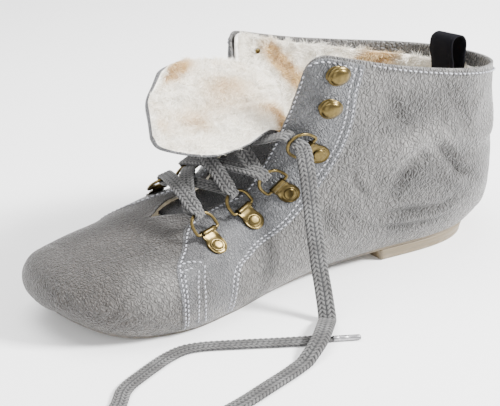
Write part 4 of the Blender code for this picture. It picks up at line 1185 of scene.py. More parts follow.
@dataclass(frozen=True)
class Lace:
    """The lacing through the rings, and its free end down to the floor and round."""

    width: float = 0.0080
    squeeze: float = 0.70            # share of its width that the lace keeps in a ring
    crossing_rise: float = 0.0048    # how high the free end passes over itself
    tip_diameter: float = 0.0030

    def end_route(self) -> tuple[np.ndarray, np.ndarray]:
        """The free end's centre line out of the near top ring, and the directions of its width.

        Returns:
            The line's points, and a unit vector at each.
        """
        air = [(x * LENGTH, y * BALL_WIDTH, z * COLLAR_FRONT) for x, y, z in LACE_AIR]
        lie = CORD_DIAMETER / 2 + 0.0001
        rows = np.array(air + [(x * LENGTH, y * BALL_WIDTH, lie) for x, y in LACE_FLOOR])
        points = catmull(rows, np.linspace(0, len(rows) - 1, 64))
        points[:, 2] = np.maximum(points[:, 2], lie)
        late = points[len(points) * 2 // 3:]
        for number in range(len(points) // 2):
            near = np.linalg.norm(late[:, :2] - points[number, :2], axis=1).min()
            rise = self.crossing_rise * max(0.0, 1 - (near / 0.020) ** 2)
            points[number, 2] = max(points[number, 2], lie + rise)
        on_floor = smooth((0.016 - points[:, 2]) / 0.010)
        points[:, 2] -= on_floor * (CORD_DIAMETER - LACE_THICKNESS) / 2 * 0.85
        centre, mount = bow(NEAR, 3)
        _, out, up, along = mount.axes()
        inside = centre - up * LACE_WRAP
        lead = np.array([inside - out * 0.0022, inside + out * 0.0012, inside + out * 0.0036 - up * 0.0022])
        points = np.vstack([lead, points])
        tangent = unit(np.gradient(points, axis=0))
        flat = np.cross(tangent, np.array([0, 0, 1.0]))
        share = smooth((points[:, 2] - 0.012) / 0.035)
        width = unit(flat) * (1 - share)[:, None]
        facing = np.array([1.0, -0.12, 0.10])
        last = facing
        for number in range(len(width)):
            if width[number] @ last < 0:
                width[number] = -width[number]
            width[number] = unit(width[number] + facing * share[number])
            last = width[number]
        width[:2] = along * (1 if along @ facing > 0 else -1)
        return points, unit(width)

    def free_end(self) -> None:
        """The free end and its metal tip."""
        points, width = self.end_route()
        half = np.full(len(points), self.width / 2)
        half[:3] *= (0.66, 0.72, 0.85)
        half[-2:] *= (0.55, 0.30)
        braid = Braid(points, width, half, LACE_THICKNESS)
        rings = braid.rings.copy()
        under = 0.00015 - rings[:, :, 2].min(axis=1)
        rings[:, :, 2] += np.maximum(under, 0)[:, None]
        places, faces = tube(rings)
        lace = piece("free_lace", places, faces, Finishes.LACE, ("lace_end",),
                     {"plait": braid.plait.ravel()})
        tip = self.tip(points)

    def tip(self, points: np.ndarray) -> bpy.types.Object:
        """A crimped metal sleeve on the lace's end.

        Args:
            points: the free end's centre line.

        Returns:
            The sleeve.
        """
        direction = points[-1] - points[-2]
        direction[2] = 0
        direction = unit(direction)
        side = np.cross(direction, (0, 0, 1.0))
        first = points[-1] - direction * 0.0004
        first[2] = self.tip_diameter / 2 + 0.0002
        stations = ((0.0, 0.96), (0.0002, 1.0), (0.0022, 1.0), (0.0026, 0.86), (0.0030, 1.0), (0.0062, 0.97),
                    (0.0066, 0.84), (0.0070, 0.97), (0.0112, 0.92), (0.0118, 0.80), (0.0120, 0.40))
        turn = np.arange(24) * math.tau / 24
        rings = []
        for run, radius in stations:
            seam = 1 - 0.10 * np.exp(-((turn - 1.9) / 0.16) ** 2)
            r = self.tip_diameter / 2 * radius * seam
            rings.append(first + direction * run + np.cos(turn)[:, None] * side * r[:, None]
                         + np.sin(turn)[:, None] * np.array([0, 0, 1.0]) * r[:, None])
        places, faces = tube(np.array(rings))
        return piece("lace_tip", places, faces, Finishes.TIP, ("aglet",))

    def crossings(self) -> bpy.types.Object:
        """The lacing from the near top ring to the far top ring, wrapped round each bow.

        Returns:
            The piece.
        """
        path, ups = [], []
        bows = [bow(side, index) for side, index in LACE_ORDER]
        for number, (centre, mount) in enumerate(bows):
            _, out, up, along = mount.axes()
            over = number % 2 == 0
            turns = (90, 45, 0, -45, -90) if over else (-90, -45, 0, 45, 90)
            if number == 0:
                turns = (0, -45, -90)
            if number == len(bows) - 1:
                turns = turns[:3]
            for angle in turns:
                turn = math.radians(angle)
                path.append(centre + (out * math.sin(turn) - up * math.cos(turn)) * LACE_WRAP)
                ups.append(along)
            if number == len(bows) - 1:
                break
            ahead, ahead_mount = bows[number + 1]
            _, next_out, next_up, _ = ahead_mount.axes()
            leave = path[-1] + up * 0.0035
            sign = 1 if (number + 1) % 2 == 0 else -1
            arrive = ahead + next_out * sign * LACE_WRAP + next_up * 0.0035
            for share in (0.0, 0.2, 0.4, 0.6, 0.8, 1.0):
                point = leave + (arrive - leave) * share
                path.append(point + np.array([-0.35, 0, 1]) * LACE_ARCH[number] * 4 * share * (1 - share))
                ups.append(None)
        path = np.array(path)
        tangent = unit(np.gradient(path, axis=0))
        widths, halves, last = [], [], None
        for direction, given in zip(tangent, ups):
            if given is None:
                width = np.cross(direction, (-0.35, 0, 1.0))
            else:
                width = given - direction * (given @ direction)
            width = unit(width)
            if last is not None and width @ last < 0:
                width = -width
            last = width
            widths.append(width)
            halves.append(self.width / 2 * (self.squeeze if given is not None else 0.96))
        braid = Braid(path, np.array(widths), np.array(halves), LACE_THICKNESS)
        places, faces = tube(braid.rings)
        return piece("laced_rows", places, faces, Finishes.LACE, ("lace_crossings",),
                     {"plait": braid.plait.ravel()})


@dataclass
class Sewing:
    """Rows of thread on the leather."""

    pitch: float = 0.0028
    long: float = 0.0020
    radius: float = 0.00040
    slant: float = 0.00022
    parts: list[tuple[np.ndarray, list]] = field(default_factory=list)

    def row(self, line: np.ndarray, normals: np.ndarray) -> None:
        """Stitches along a line, each a short round strand sunk at both ends.

        Args:
            line: points on the leather.
            normals: directions outward at them.
        """
        run = np.concatenate([[0], np.cumsum(np.linalg.norm(np.diff(line, axis=0), axis=1))])
        for middle in np.arange(self.pitch / 2, run[-1] - self.pitch / 2, self.pitch):
            stations = middle + np.linspace(-0.5, 0.5, 6) * self.long
            centre = np.stack([np.interp(stations, run, line[:, k]) for k in range(3)], 1)
            normal = unit(np.stack([np.interp(stations, run, normals[:, k]) for k in range(3)], 1))
            tangent = unit(np.gradient(centre, axis=0))
            side = unit(np.cross(tangent, normal))
            centre = centre + side * np.linspace(-self.slant, self.slant, 6)[:, None]
            rise = np.array([-0.55, 0.20, 0.55, 0.55, 0.20, -0.55]) * self.radius
            size = np.array([0.45, 0.90, 1.0, 1.0, 0.90, 0.45]) * self.radius
            turn = np.arange(7) * math.tau / 7
            rings = (centre + normal * rise[:, None])[:, None] + size[:, None, None] * (
                np.cos(turn)[None, :, None] * side[:, None] + np.sin(turn)[None, :, None] * normal[:, None])
            self.parts.append(tube(rings))

    def on_skin(self, side: Side, places: np.ndarray, lift: float) -> None:
        """A row of thread along (row, share) places at a lift over the leather."""
        places = np.asarray(places, float)
        _, out, _, _ = LAST.frames(side, places[:, 0], places[:, 1])
        self.row(skin(side, places[:, 0], places[:, 1], lift), out)

    def done(self) -> bpy.types.Object:
        """All rows as one piece."""
        points, faces = merge(self.parts)
        # Painted shade at each stitch's sunk ends, through the plait mark.
        stitch_end_shade = np.tile(np.array([0.35, 0.8, 1.0, 1.0, 0.8, 0.35]).repeat(7), len(points) // 42)
        return piece("stitching", points, faces, Finishes.THREAD, marks={"plait": stitch_end_shade})


SEWING = Sewing()


@dataclass(frozen=True)
class Upper:
    """The vamp and quarters as one leather skin, and the front quarter panels over them."""

    rounding: float = 0.0009         # how wide a panel's edge is rounded
    groove: float = 0.00022          # how deep the thread pulls the leather in
    front_seam: float = 0.0019       # the front row's way from the panel's edge
    rear_seams: tuple[float, float] = (0.0014, 0.0038)

    ROWS = np.concatenate([np.linspace(0, 2, 27)[:-1], np.linspace(2, 6, 62)[:-1],
                           np.linspace(6, 13, 76)[:-1], np.linspace(13, 17, 60)])
    SHARES = np.concatenate([np.linspace(0, 0.42, 30)[:-1], np.linspace(0.42, 0.85, 28)[:-1],
                             np.linspace(0.85, 1.0, 14)])

    def hide(self) -> bpy.types.Object:
        """The creased skin, whose thickness grows outward from the last's face.

        Returns:
            The piece.
        """
        row, share = np.meshgrid(self.ROWS, self.SHARES, indexing="ij")
        outers, faces, first = [], [], 0
        for side in Side:
            base, out, _, _ = LAST.frames(side, row.ravel(), share.ravel())
            meets = (share.ravel() > 1 - 1e-6) & (row.ravel() <= THROAT_ROW)
            meets |= (share.ravel() < 1e-6) & (row.ravel() >= HEEL_ROW)
            meets |= row.ravel() < 1e-6
            out[meets, 1] = 0
            out = unit(out)
            outers.append(base + out * RELIEF.height(base)[:, None])
            faces += faces_of(len(self.ROWS), len(self.SHARES), first=first, flip=side == FAR)
            first += len(base)
        points = np.concatenate(outers)
        shade, warm = tones(points)
        made = piece("hide", points, faces, Finishes.HIDE, ("upper",),
                     {"shade": shade, "warm": warm}, weld=True)
        thick = made.modifiers.new("thickness", 'SOLIDIFY')
        thick.thickness = LEATHER
        thick.offset = -1
        return made

    def panel(self, side: Side) -> bpy.types.Object:
        """A front quarter panel with rounded edges and its rows of stitches.

        Args:
            side: the panel's side.

        Returns:
            The panel.
        """
        up = np.concatenate([np.linspace(0, 1 / 9, 34)[:-1], np.linspace(1 / 9, 1, 130)])
        across = np.concatenate([np.linspace(0, 0.12, 12)[:-1], np.linspace(0.12, 0.88, 30)[:-1],
                                 np.linspace(0.88, 1, 12)])
        front = catmull(PANEL_FRONT, up * (len(PANEL_FRONT) - 1))
        rear = catmull(PANEL_REAR, up * (len(PANEL_REAR) - 1))
        places = front[:, None] + (rear - front)[:, None] * across[None, :, None]
        row, share = places[..., 0].ravel(), places[..., 1].ravel()
        base, out, _, _ = LAST.frames(side, row, share)
        relief = RELIEF.height(base)
        grid = base.reshape(len(up), len(across), 3)
        steps = np.linalg.norm(np.diff(grid, axis=1), axis=2)
        from_front = np.concatenate([np.zeros((len(up), 1)), np.cumsum(steps, axis=1)], axis=1)
        from_rear = from_front[:, -1:] - from_front
        steps = np.linalg.norm(np.diff(grid, axis=0), axis=2)
        from_low = np.concatenate([np.zeros((1, len(across))), np.cumsum(steps, axis=0)], axis=0)
        from_top = from_low[-1:] - from_low
        edge = np.minimum(np.minimum(from_front, from_rear), from_top)
        crown = np.sqrt(1 - (1 - np.clip(edge / self.rounding, 0, 1)) ** 2)
        sunk = np.exp(-((from_front - self.front_seam) / 0.0007) ** 2)
        for seam in self.rear_seams:
            sunk = sunk + np.exp(-((from_rear - seam) / 0.0006) ** 2)
        sunk = self.groove * sunk
        high = PANEL_SEAT + PANEL_WALL * (0.30 + 0.70 * crown) - sunk
        outer = base + out * (high.ravel() + relief)[:, None]
        inner = base + out * (0.00008 + relief)[:, None]
        points, faces = closed_sheet(outer.reshape(grid.shape), inner.reshape(grid.shape))
        shade, warm = tones(outer)
        worn = 0.24 * np.exp(-(edge.ravel() / 0.0007) ** 2) * (1.6 if side == FAR else 1.0)
        # Painted shade along the stitch grooves: the shade drops by 1200 times the groove's depth.
        shade = np.clip(0.26 + 0.42 * shade + worn - 1200 * sunk.ravel(), 0, 1)
        warm = np.clip(warm - 0.25, 0, 1)
        self.sew(side, front, rear, from_front[:, -1])
        return piece("panel_" + side.word, points, faces, Finishes.FACING,
                     ("facing_" + side.word,), {"shade": np.tile(shade, 2), "warm": np.tile(warm, 2)})

    def sew(self, side: Side, front: np.ndarray, rear: np.ndarray, width: np.ndarray) -> None:
        """The panel's rows: one along its front and top edges, two along its rear seam, and the bar.

        Args:
            side: the panel's side.
            front: places on its front edge.
            rear: places on its rear edge.
            width: metres between them.
        """
        lift = PANEL_SEAT + PANEL_WALL - 0.00012

        def inset(distance: float, part: slice = slice(None)) -> np.ndarray:
            """Places at a distance behind the front edge, or ahead of the rear one if under 0."""
            share = (distance / width)[:, None] if distance > 0 else (1 + distance / width)[:, None]
            return (front + (rear - front) * share)[part]

        SEWING.on_skin(side, inset(self.front_seam, slice(2, -9)), lift)
        for seam in self.rear_seams:
            SEWING.on_skin(side, inset(-seam, slice(2, -3)), lift)
        share = np.linspace(0.10, 0.98, 60)[:, None]
        top = front[-1] + (rear[-1] - front[-1]) * share
        top[:, 0] -= 0.38
        SEWING.on_skin(side, top, lift)
        for bar in BAR_ROWS:
            stations = np.linspace(0, len(bar) - 1, 15 * len(bar) - 15)
            SEWING.on_skin(side, catmull(bar, stations), lift)

    def collar_row(self) -> None:
        """The single row below the collar, from the panels round the back."""
        for side in Side:
            share = np.linspace(0.62, 0.02, 120)
            drop = 0.13 + 0.05 * smooth(np.abs(share - 0.3) / 0.3)
            places = np.stack([COLLAR_ROW - drop, share], 1)
            SEWING.on_skin(side, places, 0.0004 + (LEATHER if side == NEAR else 0))


@dataclass(frozen=True)
class Pile:
    """Deep fleece: how long, wide and thick its strands grow."""

    length: float
    width: float
    count: int
    seed: int


def grow(name: str, grid: np.ndarray, normals: np.ndarray, stain_and_shadow: np.ndarray, pile: Pile,
         weight: np.ndarray | None = None) -> bpy.types.Object:
    """Curled strands over a grid of points, tinted as the points are.

    Args:
        name: the pile's name.
        grid: the roots' surface.
        normals: directions out of it.
        stain_and_shadow: how stained it is, painted shadow included.
        pile: the strands' sizes.
        weight: where they grow more thickly.

    Returns:
        The pile.
    """
    rng = np.random.default_rng(pile.seed)
    a, b, c, d = grid[:-1, :-1], grid[:-1, 1:], grid[1:, 1:], grid[1:, :-1]
    area = np.linalg.norm(np.cross(c - a, d - b), axis=2)
    if weight is not None:
        area = area * weight[:-1, :-1]
    pick = rng.choice(area.size, pile.count, p=(area / area.sum()).ravel())
    i, j = np.unravel_index(pick, area.shape)
    s, t = rng.random((2, pile.count, 1))

    def blend(field: np.ndarray) -> np.ndarray:
        """A field's values at the roots."""
        return ((field[i, j] * (1 - s) + field[i, j + 1] * s) * (1 - t)
                + (field[i + 1, j] * (1 - s) + field[i + 1, j + 1] * s) * t)

    root = blend(grid)
    normal = unit(blend(normals))
    tint = blend(stain_and_shadow[..., None])[:, 0]
    swirl = np.stack([np.sin(root[:, 1] * 640 + 2.1 * np.sin(root[:, 2] * 410)),
                      np.sin(root[:, 2] * 560 + 1.7 * np.sin(root[:, 0] * 470)),
                      np.sin(root[:, 0] * 600 + 1.9 * np.sin(root[:, 1] * 390))], 1)
    lean = swirl * 0.65 + rng.normal(size=root.shape) * 0.40
    lean = lean - normal * (lean * normal).sum(1)[:, None]
    long = pile.length * (0.65 + 0.60 * rng.random(pile.count))[:, None]
    across = unit(np.cross(normal, rng.normal(size=root.shape)))
    rings = []
    for level, wide in ((0.0, 1.0), (0.55, 0.85), (1.0, 0.25)):
        centre = root + normal * long * (level - 0.34 * level ** 2) + lean * long * 0.75 * level ** 1.5
        half = across * pile.width * wide / 2
        rings.append(np.stack([centre - half, centre + half], 1))
    points = np.stack(rings, 1).reshape(-1, 3)
    first = np.arange(pile.count)[:, None] * 6
    faces = np.concatenate([first + (0, 1, 3, 2), first + (2, 3, 5, 4)]).tolist()
    return piece(name, points, faces, Finishes.FLEECE, marks={"stain_and_shadow": tint.repeat(6)})


@dataclass(frozen=True)
class FleeceSpot:
    """A spot in the fleece at a place in metres; the two of depth 1 and more, in the throat, are painted
    shadow, the rest are tan stains.
    """

    centre: tuple[float, float, float]
    radius: tuple[float, float, float]
    depth: float


STAINS_AND_SHADOWS = (
    FleeceSpot((0.008, 0.024, 0.094), (0.008, 0.02, 0.006), 0.55),
    # Painted shadow: the next two brown spots, in the throat between the tongue's flap and the near panel.
    FleeceSpot((-0.082, -0.026, 0.094), (0.006, 0.010, 0.016), 1.0),
    FleeceSpot((-0.080, -0.022, 0.080), (0.008, 0.012, 0.012), 1.1),
    FleeceSpot((-0.128, -0.022, 0.118), (0.007, 0.009, 0.010), 0.60),
    FleeceSpot((-0.105, -0.004, 0.105), (0.016, 0.010, 0.012), 0.22),
    FleeceSpot((-0.092, 0.010, 0.100), (0.010, 0.010, 0.010), 0.30),
)


def stain_and_shadow_at(points: np.ndarray) -> np.ndarray:
    """How stained the fleece is at points, with the painted shadow in the throat counted as stain.

    Args:
        points: places in metres.

    Returns:
        0 for clean, about 0.5 for tan, over 1 for brown.
    """
    total = np.zeros(points.shape[:-1])
    for stain_and_shadow in STAINS_AND_SHADOWS:
        away = ((points - np.array(stain_and_shadow.centre)) / np.array(stain_and_shadow.radius)) ** 2
        total += stain_and_shadow.depth * np.exp(-away.sum(-1))
    return total


def tufted(points: np.ndarray, normals: np.ndarray, depth: float) -> np.ndarray:
    """A grid swollen into soft tufts along its normals.

    Args:
        points: the flat grid.
        normals: directions out of it.
        depth: the tufts' height.

    Returns:
        The grid with its tufts.
    """
    flat = points.reshape(-1, 3)
    lift = np.array([noise.noise(Vector(p) * 210) * 0.6 + noise.noise(Vector(p) * 520) * 0.4 for p in flat])
    return points + normals * (depth * lift).reshape(points.shape[:-1])[..., None]


@dataclass(frozen=True)
class Lining:
    """The fleece inside the leather, its pile, and the fleece over the insole."""

    near_strands: int = 18000
    far_strands: int = 35000
    near_seed: int = 3
    far_seed: int = 5
    pile_length: float = 0.0034
    pile_width: float = 0.00020
    backing: float = 0.0029          # how deep the pile's roots lie under the leather's face
    bed_margin: float = 0.0042       # how far the foot bed stays inside the sole's edge

    def build(self) -> None:
        """Both sides of the lining and the foot bed."""
        for side, count, seed in ((NEAR, self.near_strands, self.near_seed),
                                  (FAR, self.far_strands, self.far_seed)):
            rows = np.linspace(6.6, COLLAR_ROW - 0.24, 130)
            shares = np.linspace(0.0, 1.0, 70)
            row, share = np.meshgrid(rows, shares, indexing="ij")
            share = 0.02 + share * (0.90 + 0.072 * smooth((row - 9) / 3))
            base, out, _, _ = LAST.frames(side, row.ravel(), share.ravel())
            shape = row.shape + (3,)
            outer = (base - out * (LEATHER + 0.0001)).reshape(shape)
            inner = (base - out * self.backing).reshape(shape)
            into = -out.reshape(shape)
            inner = tufted(inner, into, 0.0007)
            for grid in (outer, inner):
                grid[..., 1] = side * np.maximum(side * grid[..., 1], 0)
            points, faces = closed_sheet(outer, inner)
            wander = 0.5 * np.sin(share * 17)
            band = np.exp(-((row - 15.5 + wander) / 0.65) ** 2) * smooth((0.78 - share) / 0.2)
            # The stain mark also holds the brown painted shadow in the throat.
            stain_and_shadow = stain_and_shadow_at(inner) + band * (0.58 + 0.26 * np.sin(share * 23 + 1.0))
            lip = smooth((row - 15.9) / 0.9)[..., None] * np.array([0, 0, 0.9])
            into = unit(into + lip)
            piece("lining_" + side.word, points, faces, Finishes.FLEECE,
                  marks={"stain_and_shadow": np.tile(stain_and_shadow.ravel(), 2)})
            weight = smooth((inner[..., 2] - 0.030) / 0.020)
            weight = weight * (1 + 2.5 * smooth((row - 15.6) / 1.2))
            pile = Pile(self.pile_length, self.pile_width, count, seed)
            grow("pile_" + side.word, inner, into, stain_and_shadow, pile, weight)
        self.bed()

    def bed(self) -> None:
        """Fleece over the insole."""
        share = np.linspace(EDGE_OUTLINE[0][0] + 0.02, EDGE_OUTLINE[-1][0] - 0.02, 90)
        inner, outer = LAST.edge_halves(share)
        inner = np.maximum(inner - self.bed_margin, 0.0008)
        outer = np.maximum(outer - self.bed_margin, 0.0008)
        lane = np.linspace(0, 1, 28)
        x = (HEEL_SETBACK - share * LENGTH)[:, None] + 0 * lane[None]
        y = -inner[:, None] * (1 - lane) + outer[:, None] * lane
        low = LAST.edge_height(share)[:, None] + 0 * lane[None]
        top = np.dstack([x, y, low + INSOLE_THICKNESS + 0.0012])
        up = np.zeros_like(top)
        up[..., 2] = 1
        top = tufted(top, up, 0.0008)
        bottom = np.dstack([x, y, low + 0.0002])
        points, faces = closed_sheet(top, bottom)
        piece("foot_bed", points, faces, Finishes.FLEECE,
              marks={"stain_and_shadow": np.full(len(points), 0.15)})


# Stains on the tongue, with brown painted shadow at along 4.4 and 5.1 where it meets the near panel: how far
# along it, its lane from near to far, radius, depth
TONGUE_STAINS_AND_SHADOWS = (
    (9.1, 3.3, 0.55, 0.65), (8.6, 3.6, 0.45, 0.5), (7.4, 2.5, 0.60, 0.30), (6.2, 1.2, 0.50, 0.30),
    (5.1, 0.4, 0.60, 0.75), (4.4, 0.5, 0.70, 0.95), (9.3, 0.8, 0.50, 0.25), (8.3, 1.2, 0.60, 0.18),
)


@dataclass(frozen=True)
class Tongue:
    """The padded tongue, folded forward: leather underneath, fleece on the face that shows."""

    thickness: float = 0.0045
    pile_length: float = 0.0030
    pile_width: float = 0.00019
    strands: int = 42000
    seed: int = 11

    def build(self) -> None:
        """The leather, the fleece and its pile."""
        inside = UPPER_WALL + SEAM + self.thickness + 0.0012
        net = []
        for row, reach in TONGUE_SEAT:
            sides = []
            for side in Side:
                reaches = np.array([reach, reach + (1 - reach) * 0.6])
                points, out, _, _ = LAST.frames(side, np.full(2, row), reaches)
                sides.append(points - out * inside)
            middle = (LAST.wall(NEAR, row, 1.0)[0] + LAST.wall(FAR, row, 1.0)[0]) / 2
            middle = middle - np.array([0, 0, inside])
            net.append([sides[0][0], sides[0][1], middle, sides[1][1], sides[1][0]])
        scale = np.array([LENGTH, BALL_WIDTH, COLLAR_FRONT])
        for fold in TONGUE_FOLDS:
            near, middle, far = (np.array(fold[i:i + 3]) * scale for i in (0, 3, 6))
            net.append([near, (near + middle) / 2, middle, (far + middle) / 2, far])
        net = np.array(net)
        along = np.linspace(0, len(net) - 1, 120)
        lanes = [catmull(net[:, k], along) for k in range(5)]
        across = np.concatenate([np.linspace(0, 0.4, 12)[:-1], np.linspace(0.4, 3.6, 40)[:-1],
                                 np.linspace(3.6, 4, 12)])
        grid = np.array([catmull(np.array([lane[i] for lane in lanes]), across) for i in range(len(along))])
        normal = unit(np.cross(np.gradient(grid, axis=0), np.gradient(grid, axis=1)))
        start = net.shape[0] - 1
        edge = np.minimum(np.minimum(across, 4 - across)[None, :] / 0.35, (start - along)[:, None] / 0.35)
        swell = 0.45 + 0.55 * np.sqrt(1 - (1 - np.clip(edge, 0, 1)) ** 2)
        half = self.thickness / 2
        outer = grid + normal * (half * swell)[..., None]
        under = grid + normal * (half * swell - 0.0019)[..., None]
        shade = 0.38 + 0.25 * smooth((along - 4.5) / 1.5)[:, None] + 0.0 * across[None]
        points, faces = closed_sheet(outer, under)
        piece("tongue_leather", points, faces, Finishes.FACING, ("tongue",),
              {"shade": np.tile(shade.ravel(), 2), "warm": np.full(len(points), 0.25)})
        pad = grid + normal * (half * swell - 0.0020)[..., None]
        face = grid - normal * (half * swell * 1.05)[..., None]
        bulge = np.exp(-((along - 7.0) / 1.1) ** 2)[:, None] * np.exp(-((across - 2.2) / 1.2) ** 2)[None]
        face = tufted(face - normal * (0.0012 * bulge)[..., None], -normal, 0.0008)
        # The stain mark also holds the brown painted shadow where the tongue meets the near panel.
        stain_and_shadow = stain_and_shadow_at(face)
        for at, lane, size, depth in TONGUE_STAINS_AND_SHADOWS:
            away = ((along[:, None] - at) / size) ** 2 + ((across[None] - lane) / size) ** 2
            stain_and_shadow = stain_and_shadow + depth * np.exp(-away)
        points, faces = closed_sheet(pad, face)
        piece("tongue_fleece", points, faces, Finishes.FLEECE,
              marks={"stain_and_shadow": np.tile(stain_and_shadow.ravel(), 2)})
        weight = np.broadcast_to(smooth((along - 2.6) / 1.0)[:, None], face.shape[:2])
        pile = Pile(self.pile_length, self.pile_width, self.strands, self.seed)
        grow("tongue_pile", face, -normal, stain_and_shadow, pile, weight)


def lathe(mount: Mount, profile: Sequence[tuple[float, float]], count: int = 32) -> tuple:
    """Points and faces turned round a mount's outward axis from (lift, radius) rows.

    Args:
        mount: where the piece stands.
        profile: lift and radius, row by row.
        count: points in a ring.

    Returns:
        The points, and rings of point numbers.
    """
    turn = np.arange(count) * math.tau / count
    rings = [mount.place(np.cos(turn) * radius, np.sin(turn) * radius, lift) for lift, radius in profile]
    return tube(np.array(rings))


@dataclass(frozen=True)
class Hardware:
    """Riveted clips, their D rings, and the speed hooks above them."""

    rivet_radius: float = 0.0033
    clip_width: float = 0.0102
    clip_thickness: float = 0.0008
    hook_radius: float = 0.0052

    def build(self) -> None:
        """Every metal piece on both sides."""
        for side in Side:
            for number, (row, share, twist) in enumerate(RINGS[side], 1):
                mount = Mount(side, row, share, twist)
                self.clip(mount, "%s_%d" % (side.word, number))
                self.ring(mount, "%s_%d" % (side.word, number))
            for number, (row, share) in enumerate(HOOKS[side], 1):
                self.hook(Mount(side, row, share), "%s_%d" % (side.word, number))

    def clip(self, mount: Mount, word: str) -> None:
        """A plate with a raised rim that curls over the ring's bar, and its rivet.

        Args:
            mount: where it stands.
            word: the end of its name.
        """
        half = self.clip_width / 2
        curl = RING_WIRE / 2 + SEAM
        width = half * 0.86
        stations = [(-half * math.cos(a), half * math.sin(a)) for a in np.linspace(0.16, math.pi / 2, 12)]
        for u in np.linspace(0.0007, 0.0056, 8):
            stations.append((u, half * (1 - 0.14 * smooth((u - 0.0008) / 0.0040))))
        lanes = np.array([-1, -0.97, -0.88, -0.76, -0.4, 0, 0.4, 0.76, 0.88, 0.97, 1])
        rise = np.array([0.35, 0.85, 1.0, 0.62, 0.56, 0.54, 0.56, 0.62, 1.0, 0.85, 0.35])
        rise = rise * (self.clip_thickness + 0.0002)
        rings = []
        for up, wide in stations:
            v = lanes * wide
            u = np.full(len(v), up)
            seat = mount.ground(u, v) * (1 - smooth((up - 0.0015) / 0.004))
            seat = seat + 0.0008 * smooth((up - 0.001) / 0.004)
            end = smooth((up + half) / 0.0010)
            rim = rise * end + (1 - end) * 0.0009
            top = mount.place(u, v, seat + 0.00005 + rim)
            low = mount.place(u[::-1], v[::-1], (seat + 0.00005)[::-1])
            rings.append(np.concatenate([top, low]))
        centre = (CLIP_REACH, BAR_LIFT)
        for angle in np.radians(np.linspace(-90, 150, 18)):
            v = lanes * width
            fat = rise / rise.max() * self.clip_thickness
            out_u = centre[0] + (curl + fat) * math.cos(angle)
            out_n = centre[1] + (curl + fat) * math.sin(angle)
            in_u = np.full(len(v), centre[0] + curl * math.cos(angle))
            in_n = np.full(len(v), centre[1] + curl * math.sin(angle))
            rings.append(np.concatenate([mount.place(in_u, v, in_n), mount.place(out_u, v, out_n)[::-1]]))
        plate = tube(np.array(rings))
        r = self.rivet_radius
        lift = self.clip_thickness
        head = lathe(mount, ((0.0002, r * 1.12), (lift, r * 1.12), (lift + 0.0002, r * 1.06),
                             (lift + 0.0001, r * 0.90), (lift + 0.0001, r * 0.86), (lift + 0.0007, r * 0.84),
                             (lift + 0.0009, r * 0.76), (lift + 0.0010, r * 0.45), (lift + 0.0010, r * 0.10)))
        points, faces = merge([plate, head])
        piece("clip_" + word, points, faces, Finishes.BRASS, ("ring_clip_" + word,))

    def ring(self, mount: Mount, word: str) -> None:
        """A wire D with soft corners.

        Args:
            mount: its clip's mount.
            word: the end of its name.
        """
        half = RING_WIDTH / 2 - RING_WIRE / 2
        reach = RING_DEPTH - RING_WIRE
        bend = reach - half
        path = [(0.0, v) for v in np.linspace(-half, half, 16)]
        path += [(u, half) for u in np.linspace(0, bend, 6)[1:-1]]
        path += [(bend + half * math.sin(a), half * math.cos(a)) for a in np.linspace(0, math.pi, 26)]
        path += [(u, -half) for u in np.linspace(bend, 0, 6)[1:-1]]
        path = np.array(path)
        for _ in range(3):
            path = (np.roll(path, 1, 0) + 2 * path + np.roll(path, -1, 0)) / 4
        slope = (BOW_LIFT - BAR_LIFT) / reach
        line = mount.place(CLIP_REACH + path[:, 0], path[:, 1], BAR_LIFT + slope * path[:, 0])
        plane = unit(np.cross(line[12] - line[2], line[30] - line[2]))
        tangent = unit(np.roll(line, -1, 0) - np.roll(line, 1, 0))
        side = np.cross(plane, tangent)
        turn = np.arange(12) * math.tau / 12
        rings = line[:, None] + RING_WIRE / 2 * (np.cos(turn)[None, :, None] * side[:, None]
                                                 + np.sin(turn)[None, :, None] * plane)
        points, faces = tube(rings, closed=True)
        piece("ring_" + word, points, faces, Finishes.BRASS, ("d_ring_" + word,))

    def hook(self, mount: Mount, word: str) -> None:
        """A foot, a neck and a domed head with a turned rim.

        Args:
            mount: where it stands.
            word: the end of its name.
        """
        r = self.hook_radius
        foot = lathe(mount, ((0.0001, r * 0.86), (0.0006, r * 0.88), (0.0010, r * 0.80), (0.0011, r * 0.46),
                             (0.0020, r * 0.40), (0.0034, r * 0.42)))
        head = lathe(mount, ((0.0030, r * 0.60), (0.0033, r * 0.90), (0.0037, r * 1.0), (0.0043, r * 1.0),
                             (0.0047, r * 0.93), (0.0048, r * 0.84), (0.0056, r * 0.80), (0.0063, r * 0.66),
                             (0.0067, r * 0.44), (0.0069, r * 0.10)), 40)
        through = PANEL_SEAT + PANEL_WALL + UPPER_WALL
        shank = lathe(mount, ((-through - 0.0034, r * 0.10), (-through - 0.0033, r * 0.24),
                              (-through - 0.0028, r * 0.30), (-through - 0.0012, r * 0.30),
                              (-through - 0.0010, r * 0.22), (0.0, r * 0.22)), 20)
        points, faces = merge([foot, head, shank])
        piece("speed_hook_" + word, points, faces, Finishes.BRASS, ("hook_" + word,))


